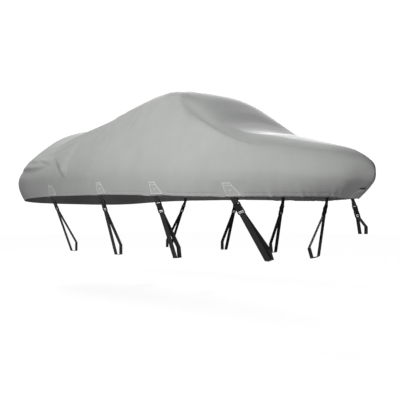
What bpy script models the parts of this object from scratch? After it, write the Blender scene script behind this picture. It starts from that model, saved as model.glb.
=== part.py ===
"""A fitted cover for a small motor boat on its trailer, with nine tie-down straps.

Metres, +X to the bow, +Y to port, +Z up. The tables below are read from the ground and from
the bow: x is 0 near the bow's tip, z is 0 on the ground. Every piece is then placed so that
the origin is the point under the top of the hump, where the boat holds the cover up.
"""

import math

import bpy
import numpy as np
from mathutils import Matrix, Vector

# Cloth and webbing
CLOTH = 0.002
WEBBING = 0.002
WEBBING_WIDTH = 0.060
GAP = 0.0004
ON_BAR = GAP + WEBBING / 2

# The point under the hump that the boat carries
HELD_AT = Vector((-2.645, 0.0, 2.3425))

# One row per rib of the starboard side, from the stem round to the middle of the stern.
# rail: the widest line in plan; spine: where the rib meets the centreline.
# hem_in: how far inboard of the rail. shoulder: where the side ends, after climbing at
# `slope` degrees; brow: where the roof begins. Their `in` is a share of the way to the spine.
# upright: how much of the side goes straight up from the rail before it leans in.
# top_slope: how steeply the roof leaves the brow.
RIB_COLUMNS = ("rail_x", "rail_out", "rail_z", "hem_in", "hem_z", "upright", "shoulder_in",
               "shoulder_z", "slope", "brow_in", "brow_z", "top_slope", "spine_x", "crown_z")
RIBS = (
    (0.035, 0.000, 1.245, 0.215, 1.025, 0.42, 0.36, 1.420, 40, 0.69, 1.482, 24, -0.28, 1.500),
    (0.020, 0.070, 1.246, 0.205, 1.026, 0.42, 0.36, 1.423, 40, 0.69, 1.486, 24, -0.30, 1.505),
    (-0.030, 0.155, 1.246, 0.180, 1.028, 0.40, 0.34, 1.433, 38, 0.68, 1.500, 23, -0.34, 1.520),
    (-0.130, 0.270, 1.246, 0.155, 1.032, 0.37, 0.31, 1.450, 36, 0.66, 1.520, 20, -0.40, 1.543),
    (-0.300, 0.410, 1.248, 0.125, 1.035, 0.33, 0.27, 1.470, 36, 0.63, 1.545, 17, -0.49, 1.573),
    (-0.550, 0.570, 1.258, 0.095, 1.038, 0.29, 0.23, 1.505, 38, 0.58, 1.592, 12, -0.66, 1.628),
    (-0.850, 0.745, 1.270, 0.072, 1.041, 0.26, 0.20, 1.560, 38, 0.50, 1.655, 10, -0.90, 1.697),
    (-1.050, 0.840, 1.275, 0.060, 1.045, 0.25, 0.19, 1.610, 40, 0.40, 1.690, 10, -1.07, 1.727),
    (-1.250, 0.910, 1.278, 0.045, 1.050, 0.24, 0.20, 1.690, 42, 0.35, 1.768, 16, -1.26, 1.840),
    (-1.500, 0.980, 1.281, 0.038, 1.060, 0.23, 0.24, 1.800, 45, 0.36, 1.890, 36, -1.50, 2.025),
    (-1.750, 1.030, 1.287, 0.030, 1.073, 0.23, 0.28, 1.935, 48, 0.40, 2.020, 50, -1.75, 2.200),
    (-2.050, 1.075, 1.296, 0.024, 1.088, 0.23, 0.36, 2.125, 50, 0.45, 2.215, 28, -2.05, 2.290),
    (-2.400, 1.100, 1.306, 0.017, 1.103, 0.24, 0.42, 2.170, 49, 0.58, 2.285, 14, -2.40, 2.335),
    (-2.800, 1.120, 1.314, 0.012, 1.115, 0.26, 0.44, 2.135, 48, 0.66, 2.280, 16, -2.80, 2.338),
    (-3.300, 1.130, 1.322, 0.010, 1.124, 0.30, 0.37, 2.000, 50, 0.65, 2.155, 20, -3.30, 2.240),
    (-3.800, 1.132, 1.328, 0.012, 1.132, 0.34, 0.26, 1.835, 55, 0.61, 2.075, 22, -3.80, 2.170),
    (-4.300, 1.125, 1.338, 0.020, 1.132, 0.38, 0.17, 1.700, 60, 0.58, 2.030, 25, -4.26, 2.150),
    (-4.700, 1.100, 1.350, 0.045, 1.122, 0.38, 0.14, 1.655, 62, 0.50, 2.000, 30, -4.57, 2.145),
    (-5.000, 1.025, 1.355, 0.095, 1.105, 0.38, 0.13, 1.635, 63, 0.46, 1.955, 32, -4.74, 2.125),
    (-5.160, 0.870, 1.360, 0.130, 1.095, 0.38, 0.13, 1.632, 63, 0.43, 1.935, 33, -4.82, 2.110),
    (-5.215, 0.550, 1.355, 0.125, 1.088, 0.38, 0.13, 1.622, 63, 0.43, 1.920, 33, -4.87, 2.095),
    (-5.225, 0.000, 1.352, 0.120, 1.085, 0.38, 0.14, 1.618, 63, 0.44, 1.915, 33, -4.89, 2.090),
)

# One row per tie-down on the starboard side; its mirror is on the port side.
# at_x: where its patch is, along the rail; foot: the trailer beam's middle under it;
# beam: how wide that beam is.
STRAP_COLUMNS = ("at_x", "foot_x", "foot_out", "beam")
STRAPS = (
    (-3.840, -3.850, 0.800, 0.060),
    (-2.740, -2.745, 0.860, 0.060),
    (-1.850, -1.800, 0.770, 0.060),
    (-1.010, -0.890, 0.370, 0.085),
)
BEAM_TOP = 0.545
BEAM_BOTTOM = 0.440

# The bow's tie-down hangs behind the stem's fold and goes round a bar of the winch post
BOW_FOOT = (-0.090, 0.0, 0.700)
BOW_SET_BACK = 0.0195
POST_WIDTH = 0.055
POST_HIGH = 0.765
POST_LOW = 0.705

# A patch is a tapered piece sewn over the strap's end, on a flat panel of the skirt. It
# stands PATCH_SHIFT towards the bow, and leans to the stern PATCH_SWEEP times its height.
# At the bow the panel folds over the stem, and its halves run back and out.
PATCH_TOP = 0.090
PATCH_BOTTOM = 0.172
PATCH_HEIGHT = 0.140
PATCH_SWEEP = 0.41
PATCH_SHIFT = 0.020
PATCH_ABOVE_HEM = 0.008
PATCH_THICK = 0.0012
PANEL_HALF = 0.110
BOW_PANEL = (-0.050, -0.085, 0.0)
BOW_PATCH_HEIGHT = 0.125
BOW_BAND_HEIGHT = 0.018
BOW_BAND_HALF = 0.056

# Ribs and rows of the cloth's mesh
RIB_SPACING = ((-1.9, 0.105), (-9.0, 0.215))
SKIRT_ROWS = 2
TURN_ROWS = 2
SIDE_ROWS = 4
BROW_ROWS = 2
ROOF_ROWS = 4
SKIRT_HEIGHT = 0.155

# How the skirt curves under, from the rail down to the hem: 1 would be straight
SKIRT_BEND = 1.8

# Elastic gathers along the hem, strongest at the bow
GATHER_IN = 0.007
GATHER_UP = 0.006
GATHER_FADES_AT = -2.1

# The main folds: from and to are (rail x, share of the rib's rows above the hem).
FOLD_COLUMNS = ("side", "from_x", "from_up", "to_x", "to_up", "width", "depth")
FOLDS = (
    ("starboard", -2.87, 0.67, -2.96, 0.45, 0.070, 0.022),
    ("starboard", -2.47, 0.62, -2.44, 0.45, 0.065, 0.014),
    ("starboard", -3.68, 0.58, -3.50, 0.30, 0.100, 0.030),
    ("starboard", -4.05, 0.49, -3.60, 0.32, 0.090, -0.022),
    ("starboard", -5.00, 0.49, -4.10, 0.42, 0.090, 0.016),
    ("starboard", -4.33, 0.62, -3.28, 0.58, 0.090, 0.016),
    ("starboard", -1.90, 0.86, -1.72, 0.63, 0.090, 0.016),
    ("starboard", -1.68, 0.62, -0.75, 0.51, 0.080, 0.010),
    ("port", -2.92, 0.66, -3.08, 0.45, 0.070, 0.018),
    ("port", -3.76, 0.57, -3.58, 0.34, 0.100, 0.022),
    ("port", -4.95, 0.48, -4.05, 0.42, 0.090, 0.014),
    ("port", -4.20, 0.69, -3.10, 0.66, 0.090, 0.014),
    ("port", -1.90, 0.85, -1.76, 0.63, 0.090, 0.014),
)
FOLD_SCALE = (1.0, 2.0)

# Side-release buckle, in its own frame: x across, y outward, z up the strap
BUCKLE_WIDTH = 0.074
BUCKLE_THICK = 0.015
BUCKLE_WALL = 0.0025
BAR = 0.006
SLOT_WIDTH = 0.063
SLOT_HEIGHT = 0.009
BUCKLE_EDGE = 0.002
SOCKET_LENGTH = 0.072
WINDOW_LOW = 0.012
WINDOW_HIGH = 0.030
PLUG_BASE = 0.048
ADJUSTER_LOW = 0.021
ADJUSTER_HIGH = 0.030
PRONG_LENGTH = 0.034
PRONG_WIDTH = 0.012
TAB_LENGTH = 0.070
TAB_UNDER = 0.045

CANVAS_GREY = (0.42, 0.425, 0.42)
PATCH_GREY = (0.46, 0.465, 0.46)
BLACK_WEBBING = (0.02, 0.02, 0.022)
BLACK_PLASTIC = (0.012, 0.012, 0.013)


def clear_scene():
    for old in list(bpy.data.objects):
        bpy.data.objects.remove(old, do_unlink=True)


def material(name, color, roughness):
    paint = bpy.data.materials.new(name)
    paint.use_nodes = True
    shader = paint.node_tree.nodes["Principled BSDF"]
    shader.inputs["Base Color"].default_value = (*color, 1.0)
    shader.inputs["Roughness"].default_value = roughness
    shader.inputs["Metallic"].default_value = 0.0
    return paint


def place(name, mesh, paint):
    """A node of the model, moved so that the origin is the point that holds the cover."""
    mesh.materials.clear()
    mesh.materials.append(paint)
    piece = bpy.data.objects.new(name, mesh)
    piece.location = -HELD_AT
    bpy.context.scene.collection.objects.link(piece)
    return piece


def mesh_of(name, points, faces):
    mesh = bpy.data.meshes.new(name)
    mesh.from_pydata([tuple(p) for p in points], [], faces)
    mesh.validate()
    mesh.update()
    return mesh


# ---------------------------------------------------------------- the cover's shape


def smooth(knots, values, at):
    """A smooth curve through a column of the table, with slopes from its neighbours."""
    slopes = np.gradient(values, knots)
    row = np.clip(np.searchsorted(knots, at) - 1, 0, len(knots) - 2)
    span = knots[row + 1] - knots[row]
    t = (at - knots[row]) / span
    start = (1 + 2 * t) * (1 - t) ** 2 * values[row] + t * (1 - t) ** 2 * span * slopes[row]
    end = t * t * (3 - 2 * t) * values[row + 1] + t * t * (t - 1) * span * slopes[row + 1]
    return start + end


def bezier(p0, p1, p2, p3, count):
    """Points after p0 up to p3."""
    t = np.linspace(0, 1, count + 1)[1:, None]
    return (1 - t) ** 3 * p0 + 3 * t * (1 - t) ** 2 * p1 + 3 * t * t * (1 - t) * p2 + t ** 3 * p3


def heading(slope):
    return np.array([math.cos(math.radians(slope)), math.sin(math.radians(slope))])


class HullLine:
    """The rib table as smooth columns along the rail, measured from the stem."""

    def __init__(self):
        table = {name: np.array(column, float) for name, column in zip(RIB_COLUMNS, zip(*RIBS))}
        steps = np.hypot(np.diff(table["rail_x"]), np.diff(table["rail_out"]))
        self.knots = np.concatenate([[0.0], np.cumsum(steps)])
        self.length = self.knots[-1]
        # Two mirrored rows past each end keep the curves level across the centreline
        self.long_knots = np.concatenate([
            -self.knots[2:0:-1], self.knots, 2 * self.length - self.knots[-2:-4:-1]])
        self.columns = {}
        for name, values in table.items():
            sign = -1.0 if name == "rail_out" else 1.0
            self.columns[name] = np.concatenate([
                sign * values[2:0:-1], values, sign * values[-2:-4:-1]])

    def at(self, name, along):
        return float(smooth(self.long_knots, self.columns[name], np.array(along)))

    def along_at(self, rail_x):
        """The distance along the rail where it passes rail_x."""
        table_x = np.array([row[0] for row in RIBS])
        return float(np.interp(-rail_x, -table_x, self.knots))

    def rib(self, along):
        """One rib's points from the hem up to the spine, on the starboard side."""
        value = {name: self.at(name, along) for name in RIB_COLUMNS}
        rail = np.array([value["rail_x"], -value["rail_out"]])
        spine = np.array([value["spine_x"], 0.0])
        reach = float(np.linalg.norm(spine - rail))
        inboard = (spine - rail) / reach
        rail_z = value["rail_z"]
        widest = np.array([0.0, rail_z])
        hem = np.array([value["hem_in"], value["hem_z"]])
        panel_share = SKIRT_HEIGHT / (rail_z - hem[1])
        shares = np.concatenate([np.linspace(0, panel_share, SKIRT_ROWS + 1),
                                 np.linspace(panel_share, 1, TURN_ROWS + 1)[1:]])
        skirt = np.column_stack([hem[0] * (1 - shares) ** SKIRT_BEND,
                                 hem[1] + shares * (rail_z - hem[1])])
        shoulder = np.array([value["shoulder_in"] * reach, value["shoulder_z"]])
        brow = np.array([value["brow_in"] * reach, value["brow_z"]])
        crown = np.array([reach, value["crown_z"]])
        climb = heading(value["slope"])
        level_off = heading(value["top_slope"])
        height = np.linalg.norm(shoulder - widest)
        side = bezier(widest, widest + (0, value["upright"] * height),
                      shoulder - 0.3 * height * climb, shoulder, SIDE_ROWS)
        step = (brow - shoulder) / 6
        third = 2 * np.linalg.norm(step)
        front = bezier(shoulder, shoulder + step + third / 2 * climb,
                       brow - step - third / 2 * level_off, brow, BROW_ROWS)
        top = crown[0] - brow[0]
        roof = bezier(brow, brow + 0.3 * top * level_off, crown - (0.36 * top, 0.0),
                      crown, ROOF_ROWS)
        profile = np.vstack([skirt, side, front, roof])
        plan = rail + profile[:, :1] * inboard
        return np.column_stack([plan, profile[:, 1]])

    def rail_heading(self, along):
        """The level direction along the rail, towards the bow."""
        step = 0.01
        dx = self.at("rail_x", along - step) - self.at("rail_x", along + step)
        dy = self.at("rail_out", along + step) - self.at("rail_out", along - step)
        ahead = np.array([dx, dy, 0.0])
        return ahead / np.linalg.norm(ahead)

    def straight_skirt(self, middle):
        """The skirt's rows at the middle of a panel, in a straight line up from the hem."""
        rows = self.rib(middle)[:SKIRT_ROWS + 1]
        return rows[0] + np.linspace(0, 1, SKIRT_ROWS + 1)[:, None] * (rows[-1] - rows[0])

    def stem_rib(self):
        """The rib at the stem, the fold line of the bow's panel."""
        points = self.rib(0.0)
        points[:SKIRT_ROWS + 1] = self.straight_skirt(0.0)
        return points

    def bow_rib(self):
        """The rib at the edge of the bow's folded panel, parallel to the stem."""
        points = self.rib(PANEL_HALF)
        points[:SKIRT_ROWS + 1] = self.straight_skirt(0.0) + np.array(BOW_PANEL)
        return points

    def panel_rib(self, middle, side):
        """The rib at one edge of a strap's panel, where the skirt is one flat piece."""
        points = self.rib(middle - side * PANEL_HALF)
        beside = side * PANEL_HALF * self.rail_heading(middle)
        points[:SKIRT_ROWS + 1] = self.straight_skirt(middle) + beside
        return points


class Station:
    """A tie-down: the flat panel of the skirt that carries it, and the line of its strap."""

    def __init__(self, middle_rib, ahead, facing, foot, tied_to, set_back=0.0):
        self.hem, top = Vector(middle_rib[0]), Vector(middle_rib[SKIRT_ROWS])
        self.ahead, self.facing, self.foot = Vector(ahead), Vector(facing), Vector(foot)
        self.tied_to = tied_to
        self.up_panel = (top - self.hem).normalized()
        self.outward = self.up_panel.cross(self.ahead).normalized()
        if self.outward.dot(self.facing) < 0:
            self.outward.negate()
        inside = CLOTH + GAP + WEBBING / 2
        self.start = self.hem - inside * self.outward - set_back * self.facing
        self.down = (self.foot - self.start).normalized()
        self.across = self.outward.cross(self.down).normalized()
        self.face = self.down.cross(self.across).normalized()
        if self.face.dot(self.outward) < 0:
            self.face.negate()
            self.across.negate()

    def at(self, across, out, down):
        """A point in the strap's own frame, from where it leaves the hem."""
        return self.start + across * self.across + out * self.face + down * self.down


def rib_places(line, strap_places):
    """Distances along the rail for every rib, with a pair of ribs at each panel's edges."""
    places = [(0.0, "stem"), (PANEL_HALF, "bow")]
    start = PANEL_HALF
    for middle in sorted(strap_places) + [line.length + PANEL_HALF]:
        end = middle - PANEL_HALF
        middle_x = line.at("rail_x", (start + end) / 2)
        spacing = next(gap for limit, gap in RIB_SPACING if middle_x > limit)
        count = max(1, round((end - start) / spacing))
        places += [(float(p), None) for p in np.linspace(start, end, count + 1)[1:-1]]
        if end < line.length:
            places += [(end, (middle, 1)), (end + 2 * PANEL_HALF, (middle, -1))]
        start = end + 2 * PANEL_HALF
    places.append((line.length, None))
    return places


def gathered(ribs, places, line):
    """The elastic draws the hem in and up between the straps, in uneven small folds."""
    for index, (along, panel) in enumerate(places):
        x = line.at("rail_x", along)
        if panel is not None or x < GATHER_FADES_AT:
            continue
        strength = min(1.0, (x - GATHER_FADES_AT) / 1.4)
        turn = 1 if index % 2 else -1
        uneven = 1.0 + 0.35 * math.sin(5.3 * index)
        inboard = ribs[index][SKIRT_ROWS + TURN_ROWS] - ribs[index][-1]
        inboard = -inboard * (1, 1, 0) / np.linalg.norm(inboard[:2])
        for row, share in ((0, 1.0), (1, 0.45)):
            ribs[index][row] += turn * strength * uneven * share * GATHER_IN * inboard
            ribs[index][row][2] += (0.5 + 0.5 * turn) * strength * share * GATHER_UP
    return ribs


def fold_depth(side, x, up):
    """How far the cloth stands out (or in, if negative) at a place, from the fold table."""
    depth = 0.0
    for row in FOLDS:
        fold = dict(zip(FOLD_COLUMNS, row))
        if fold["side"] != side:
            continue
        start = np.array([fold["from_x"], fold["from_up"]])
        run = np.array([fold["to_x"], fold["to_up"]]) - start
        here = (np.array([x, up]) - start) * FOLD_SCALE
        run = run * FOLD_SCALE
        t = min(1.0, max(0.0, here.dot(run) / run.dot(run)))
        away = np.linalg.norm(here - t * run) / fold["width"]
        depth += fold["depth"] * math.exp(-away * away) * math.sin(math.pi * (0.2 + 0.6 * t))
    return depth


def cover_grid():
    """Rings of points: one list per rib, all the way round from the stem and back."""
    line = HullLine()
    strap_places = [line.along_at(row[0]) for row in STRAPS]
    places = rib_places(line, strap_places)
    ribs = []
    for along, panel in places:
        if panel == "stem":
            ribs.append(line.stem_rib())
        elif panel == "bow":
            ribs.append(line.bow_rib())
        elif panel:
            ribs.append(line.panel_rib(*panel))
        else:
            ribs.append(line.rib(along))
    ribs = gathered(ribs, places, line)
    ring = []
    for side, order in (("starboard", ribs), ("port", ribs[-2:0:-1])):
        mirror = (1, 1, 1) if side == "starboard" else (1, -1, 1)
        for rib in order:
            ring.append(folded(rib * mirror, side))
    return line, np.array(ring)


def folded(rib, side):
    """The rib with its folds pushed out along the cloth's own direction."""
    rows = len(rib)
    out = rib.copy()
    for row in range(SKIRT_ROWS + 1, rows - 1):
        up = row / (rows - 1)
        depth = fold_depth(side, rib[SKIRT_ROWS + TURN_ROWS][0], up)
        along = rib[row + 1] - rib[row - 1]
        level = np.array([along[0], along[1], 0.0])
        level /= np.linalg.norm(level)
        run = float(along[:2].dot(level[:2]))
        normal = np.array([-level[0] * along[2], -level[1] * along[2], run])
        out[row] += depth * normal / np.linalg.norm(normal)
    return out


def cover_mesh(ring):
    """The cloth's outer face: quads round and up, closed along the centreline."""
    ribs, rows = ring.shape[:2]
    points = [tuple(p) for rib in ring for p in rib[:-1]]
    half = ribs // 2
    spine = {}
    for index in range(half + 1):
        spine[index] = len(points)
        points.append(tuple(ring[index][-1] * (1, 0, 1)))

    def point(rib, row):
        rib %= ribs
        if row == rows - 1:
            return spine[rib if rib <= half else ribs - rib]
        return rib * (rows - 1) + row

    faces = []
    for rib in range(ribs):
        for row in range(rows - 1):
            corners = [point(rib, row), point(rib + 1, row),
                       point(rib + 1, row + 1), point(rib, row + 1)]
            faces.append(tuple(dict.fromkeys(corners)))
    return points, faces


def build_cover(canvas):
    line, ring = cover_grid()
    points, faces = cover_mesh(ring)
    mesh = mesh_of("cover_shell", points, [tuple(reversed(face)) for face in faces])
    shell = place("cover_shell", mesh, canvas)
    thickness = shell.modifiers.new("cloth thickness", "SOLIDIFY")
    thickness.thickness = CLOTH
    thickness.offset = -1.0
    thickness.use_even_offset = True
    thickness.use_quality_normals = True
    return line


# ---------------------------------------------------------------- straps and patches


def outward_mesh(name, points, faces):
    """A closed mesh with its faces pointing out, whichever way its station turned it."""
    volume = 0.0
    for face in faces:
        first = Vector(points[face[0]])
        for second, third in zip(face[1:-1], face[2:]):
            volume += first.dot(Vector(points[second]).cross(Vector(points[third])))
    if volume < 0:
        faces = [tuple(reversed(face)) for face in faces]
    return mesh_of(name, points, faces)


def ribbon(name, station, path, closed):
    """A strip of webbing: a path in the strap's (out, down) plane, given width and thickness."""
    path = np.array(path, float)
    count = len(path)
    ahead = np.roll(path, -1, axis=0) - path
    if not closed:
        ahead[-1] = ahead[-2]
    ahead /= np.linalg.norm(ahead, axis=1)[:, None]
    behind = np.roll(ahead, 1, axis=0)
    if not closed:
        behind[0] = ahead[0]
    normal = np.column_stack([-ahead[:, 1] - behind[:, 1], ahead[:, 0] + behind[:, 0]])
    normal /= np.linalg.norm(normal, axis=1)[:, None]
    mitre = (normal * np.column_stack([-ahead[:, 1], ahead[:, 0]])).sum(1)
    push = normal * (WEBBING / 2 / np.maximum(mitre, 0.5))[:, None]
    half = WEBBING_WIDTH / 2
    corners = []
    for middle, offset in zip(path, push):
        for sign, across in ((1, -half), (1, half), (-1, half), (-1, -half)):
            out, down = (float(value) for value in middle + sign * offset)
            corners.append(station.at(across, out, down))
    faces = []
    for k in range(count if closed else count - 1):
        here, there = 4 * k, 4 * ((k + 1) % count)
        for side in range(4):
            beside = (side + 1) % 4
            faces.append((here + side, there + side, there + beside, here + beside))
    if not closed:
        last = 4 * (count - 1)
        faces += [(0, 1, 2, 3), (last + 3, last + 2, last + 1, last)]
    return outward_mesh(name, corners, faces)


def arc(centre, radius, start, end, steps):
    """Points on an arc in the (out, down) plane; degrees, 0 is outward and 90 is down."""
    angles = np.radians(np.linspace(start, end, steps + 1))
    return [(centre[0] + radius * math.cos(a), centre[1] + radius * math.sin(a)) for a in angles]


def taut_band(points):
    """The closed line that a band pulled tight round the points would take."""
    def half(row):
        line = []
        for p in row:
            while len(line) > 1 and ((line[-1][0] - line[-2][0]) * (p[1] - line[-2][1])
                                     <= (line[-1][1] - line[-2][1]) * (p[0] - line[-2][0])):
                line.pop()
            line.append(p)
        return line[:-1]

    row = sorted(set((round(float(x), 7), round(float(y), 7)) for x, y in points))
    return half(row) + half(row[::-1])


def tab_path(station):
    """From inside the hem down to the buckle's bar, round it and back up."""
    rise = (station.up_panel.dot(station.face), station.up_panel.dot(station.down))
    wrap = BAR / 2 + ON_BAR
    path = [(rise[0] * TAB_UNDER, rise[1] * TAB_UNDER), (0.0, 0.0), (0.0, 0.014),
            (wrap, TAB_LENGTH - 0.016)]
    path += arc((BAR / 2, TAB_LENGTH + BAR / 2), ON_BAR, 0, 90, 3)
    path += arc((-BAR / 2, TAB_LENGTH + BAR / 2), ON_BAR, 90, 180, 3)
    path += [(-wrap, TAB_LENGTH - 0.016), (-WEBBING - GAP, TAB_LENGTH - 0.032)]
    return path


def loop_path(station, bar_down):
    """A band round the plug's lower bar and round the corners of what it is tied to."""
    half_width, high, low = station.tied_to
    points = []
    for sign in (-1, 1):
        points += arc((sign * BAR / 2, bar_down - BAR / 2), ON_BAR, 180, 360, 6)
        points += arc((sign * BAR / 2, bar_down + BAR / 2), ON_BAR, 0, 180, 6)
        for height in (low, high):
            slide = (height - station.start.z) / station.down.z
            corner = station.start + slide * station.down
            astray = (corner - station.foot).dot(station.facing)
            corner += (sign * half_width - astray) * station.facing - station.start
            centre = (corner.dot(station.face), corner.dot(station.down))
            points += arc(centre, 2 * WEBBING, 0, 315, 7)
    return taut_band(points)


def patch_mesh(name, station, top, bottom, height):
    """A flat tapered piece on the panel's outer face, its top swept towards the stern."""
    slant = station.up_panel - PATCH_SWEEP * station.ahead
    base = station.hem + PATCH_ABOVE_HEM * station.up_panel + PATCH_SHIFT * station.ahead
    corners = []
    for depth in (GAP, GAP + PATCH_THICK):
        for width, rise in ((bottom, 0.0), (top, height)):
            for sign in (-1, 1):
                corners.append(base + rise * slant + sign * width / 2 * station.ahead
                               + depth * station.outward)
    faces = [(0, 1, 3, 2), (4, 6, 7, 5), (0, 4, 5, 1), (2, 3, 7, 6), (0, 2, 6, 4), (1, 5, 7, 3)]
    return outward_mesh(name, corners, faces)


def folded_patch(name, station, low, high, half_low, half_high, thick):
    """A piece folded over the stem, from one height up the panel to another."""
    run_back = Vector(BOW_PANEL).normalized()
    outward = station.up_panel.cross(run_back).normalized()
    if outward.x < 0:
        outward.negate()
    ridge = Vector((outward.x, 0.0, outward.z)).normalized()
    points = []
    for depth in (GAP, GAP + thick):
        for rise, half in ((low, half_low), (high, half_high)):
            middle = station.hem + rise * station.up_panel
            edge = middle + half * run_back + depth * outward
            points.append(edge)
            points.append(middle + depth / ridge.dot(outward) * ridge)
            points.append(Vector((edge.x, -edge.y, edge.z)))
    faces = []
    for k in (0, 1):
        faces += [(k, k + 1, k + 4, k + 3), (k + 6, k + 9, k + 10, k + 7),
                  (k, k + 6, k + 7, k + 1), (k + 3, k + 4, k + 10, k + 9)]
    faces += [(0, 3, 9, 6), (2, 8, 11, 5)]
    return outward_mesh(name, points, faces)


# ---------------------------------------------------------------- buckles


def box(name, low, high, bevel=0.0):
    points = [(x, y, z) for x in (low[0], high[0]) for y in (low[1], high[1])
              for z in (low[2], high[2])]
    faces = [(0, 1, 3, 2), (4, 6, 7, 5), (0, 4, 5, 1), (2, 3, 7, 6), (0, 2, 6, 4), (1, 5, 7, 3)]
    piece = bpy.data.objects.new(name, outward_mesh(name, points, faces))
    bpy.context.scene.collection.objects.link(piece)
    if bevel:
        edge = piece.modifiers.new("edge", "BEVEL")
        edge.width = bevel
        edge.segments = 1
    return piece


def combined(name, body, steps):
    """A body after its cuts and joins, as one mesh that its copies share."""
    for operation, cutter in steps:
        cutter.hide_render = True
        cutter.display_type = "WIRE"
        change = body.modifiers.new(operation, "BOOLEAN")
        change.operation = operation
        change.object = cutter
    graph = bpy.context.evaluated_depsgraph_get()
    mesh = bpy.data.meshes.new_from_object(body.evaluated_get(graph))
    mesh.name = name
    for spare in [body] + [cutter for _, cutter in steps]:
        bpy.data.objects.remove(spare, do_unlink=True)
    return mesh


def slot_cutters(bar_z, slot_low, slot_high):
    """What opens a webbing slot beside a bar, and thins the bar front and back."""
    half, deep = SLOT_WIDTH / 2, BUCKLE_THICK
    low, high = min(bar_z - BAR, slot_low), max(bar_z + BAR, slot_high)
    return [box("slot", (-half, -deep, slot_low), (half, deep, slot_high)),
            box("bar_front", (-half, BAR / 2, low), (half, deep, high)),
            box("bar_back", (-half, -deep, low), (half, -BAR / 2, high))]


def socket_mesh():
    """The upper half: a bar for the tab, a slot under it, and a hollow body below."""
    half, thick = BUCKLE_WIDTH / 2, BUCKLE_THICK / 2
    bottom, body_top = BAR / 2 - SOCKET_LENGTH, -BAR / 2 - SLOT_HEIGHT
    body = box("socket", (-half, -thick, bottom), (half, thick, BAR / 2), BUCKLE_EDGE)
    cutters = slot_cutters(0.0, body_top, -BAR / 2)
    wall = BUCKLE_WALL
    cutters.append(box("hollow", (-half + wall, -thick + wall, bottom - wall),
                       (half - wall, thick - wall, body_top - wall)))
    cutters.append(box("windows", (-2 * half, -thick + 2 * wall, bottom + WINDOW_LOW),
                       (2 * half, thick - 2 * wall, bottom + WINDOW_HIGH)))
    return combined("buckle_socket", body, [("DIFFERENCE", cutter) for cutter in cutters])


def plug_mesh():
    """The lower half: a bar for the loop, the adjuster's slot, and prongs up inside."""
    half, thick = BUCKLE_WIDTH / 2, BUCKLE_THICK / 2
    top = BAR / 2 - SOCKET_LENGTH - GAP
    bottom = top - PLUG_BASE
    slot_top = bottom + BAR + SLOT_HEIGHT
    base = box("plug", (-half, -thick, bottom), (half, thick, top), BUCKLE_EDGE)
    steps = [("DIFFERENCE", cutter)
             for cutter in slot_cutters(bottom + BAR / 2, bottom + BAR, slot_top)]
    adjuster = box("adjuster", (-SLOT_WIDTH / 2, -BUCKLE_THICK, bottom + ADJUSTER_LOW),
                   (SLOT_WIDTH / 2, BUCKLE_THICK, bottom + ADJUSTER_HIGH))
    steps.append(("DIFFERENCE", adjuster))
    inside = half - BUCKLE_WALL - GAP
    flat = thick - BUCKLE_WALL - GAP
    root = top - BAR
    for low, high, reach in ((-inside, PRONG_WIDTH - inside, PRONG_LENGTH),
                             (inside - PRONG_WIDTH, inside, PRONG_LENGTH),
                             (-PRONG_WIDTH / 2, PRONG_WIDTH / 2, PRONG_LENGTH - BAR)):
        steps.append(("UNION", box("prong", (low, -flat, root), (high, flat, top + reach))))
    return combined("buckle_plug", base, steps)


def hang_buckle(name, mesh, station, plastic):
    """One half of a buckle in the strap's frame, its top bar in the tab's eye."""
    piece = place(name, mesh, plastic)
    across, out, up = station.across, station.face, -station.down
    if across.cross(out).dot(up) < 0:
        across = -across
    turn = Matrix((across, out, up)).transposed().to_4x4()
    hung_at = station.at(0, 0, TAB_LENGTH) - HELD_AT
    piece.matrix_world = Matrix.Translation(hung_at) @ turn


# ---------------------------------------------------------------- assembly


def stations(line):
    """Every tie-down by name: four a side, and the bow's."""
    found = {}
    for number, row in enumerate(STRAPS, 1):
        strap = dict(zip(STRAP_COLUMNS, row))
        middle = line.along_at(strap["at_x"])
        rib, ahead = line.rib(middle), line.rail_heading(middle)
        foot = np.array([strap["foot_x"], -strap["foot_out"], BEAM_BOTTOM])
        beam = (strap["beam"] / 2, BEAM_TOP, BEAM_BOTTOM)
        for side, mirror in (("starboard", (1, 1, 1)), ("port", (1, -1, 1))):
            facing = (0, -mirror[1], 0)
            found[f"{side}_{number}"] = Station(
                rib * mirror, ahead * mirror, facing, foot * mirror, beam)
    post = (POST_WIDTH / 2, POST_HIGH, POST_LOW)
    found["bow"] = Station(line.rib(0.0), (0, 1, 0), (1, 0, 0), BOW_FOOT, post, BOW_SET_BACK)
    return found


def main():
    clear_scene()
    canvas = material("canvas_grey", CANVAS_GREY, 0.8)
    patch_cloth = material("patch_grey", PATCH_GREY, 0.8)
    webbing = material("black_webbing", BLACK_WEBBING, 0.7)
    plastic = material("black_plastic", BLACK_PLASTIC, 0.35)
    line = build_cover(canvas)
    socket, plug = socket_mesh(), plug_mesh()
    lower_bar = TAB_LENGTH - BAR / 2 + SOCKET_LENGTH + GAP + PLUG_BASE - BAR / 2
    for where, station in stations(line).items():
        if where == "bow":
            top = PATCH_ABOVE_HEM + BOW_PATCH_HEIGHT
            patch = folded_patch("patch_bow", station, PATCH_ABOVE_HEM, top,
                                 PATCH_BOTTOM / 2, PATCH_TOP / 2, PATCH_THICK)
            band = folded_patch("bow_band", station, top + GAP, top + GAP + BOW_BAND_HEIGHT,
                                BOW_BAND_HALF, BOW_BAND_HALF, WEBBING)
            place("bow_band", band, webbing)
        else:
            patch = patch_mesh(f"patch_{where}", station, PATCH_TOP, PATCH_BOTTOM, PATCH_HEIGHT)
        place(f"patch_{where}", patch, patch_cloth)
        tab = ribbon(f"tab_{where}", station, tab_path(station), closed=False)
        place(f"tab_{where}", tab, webbing)
        hang_buckle(f"socket_{where}", socket, station, plastic)
        hang_buckle(f"plug_{where}", plug, station, plastic)
        band = loop_path(station, lower_bar)
        place(f"strap_{where}", ribbon(f"strap_{where}", station, band, closed=True), webbing)


main()
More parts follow.
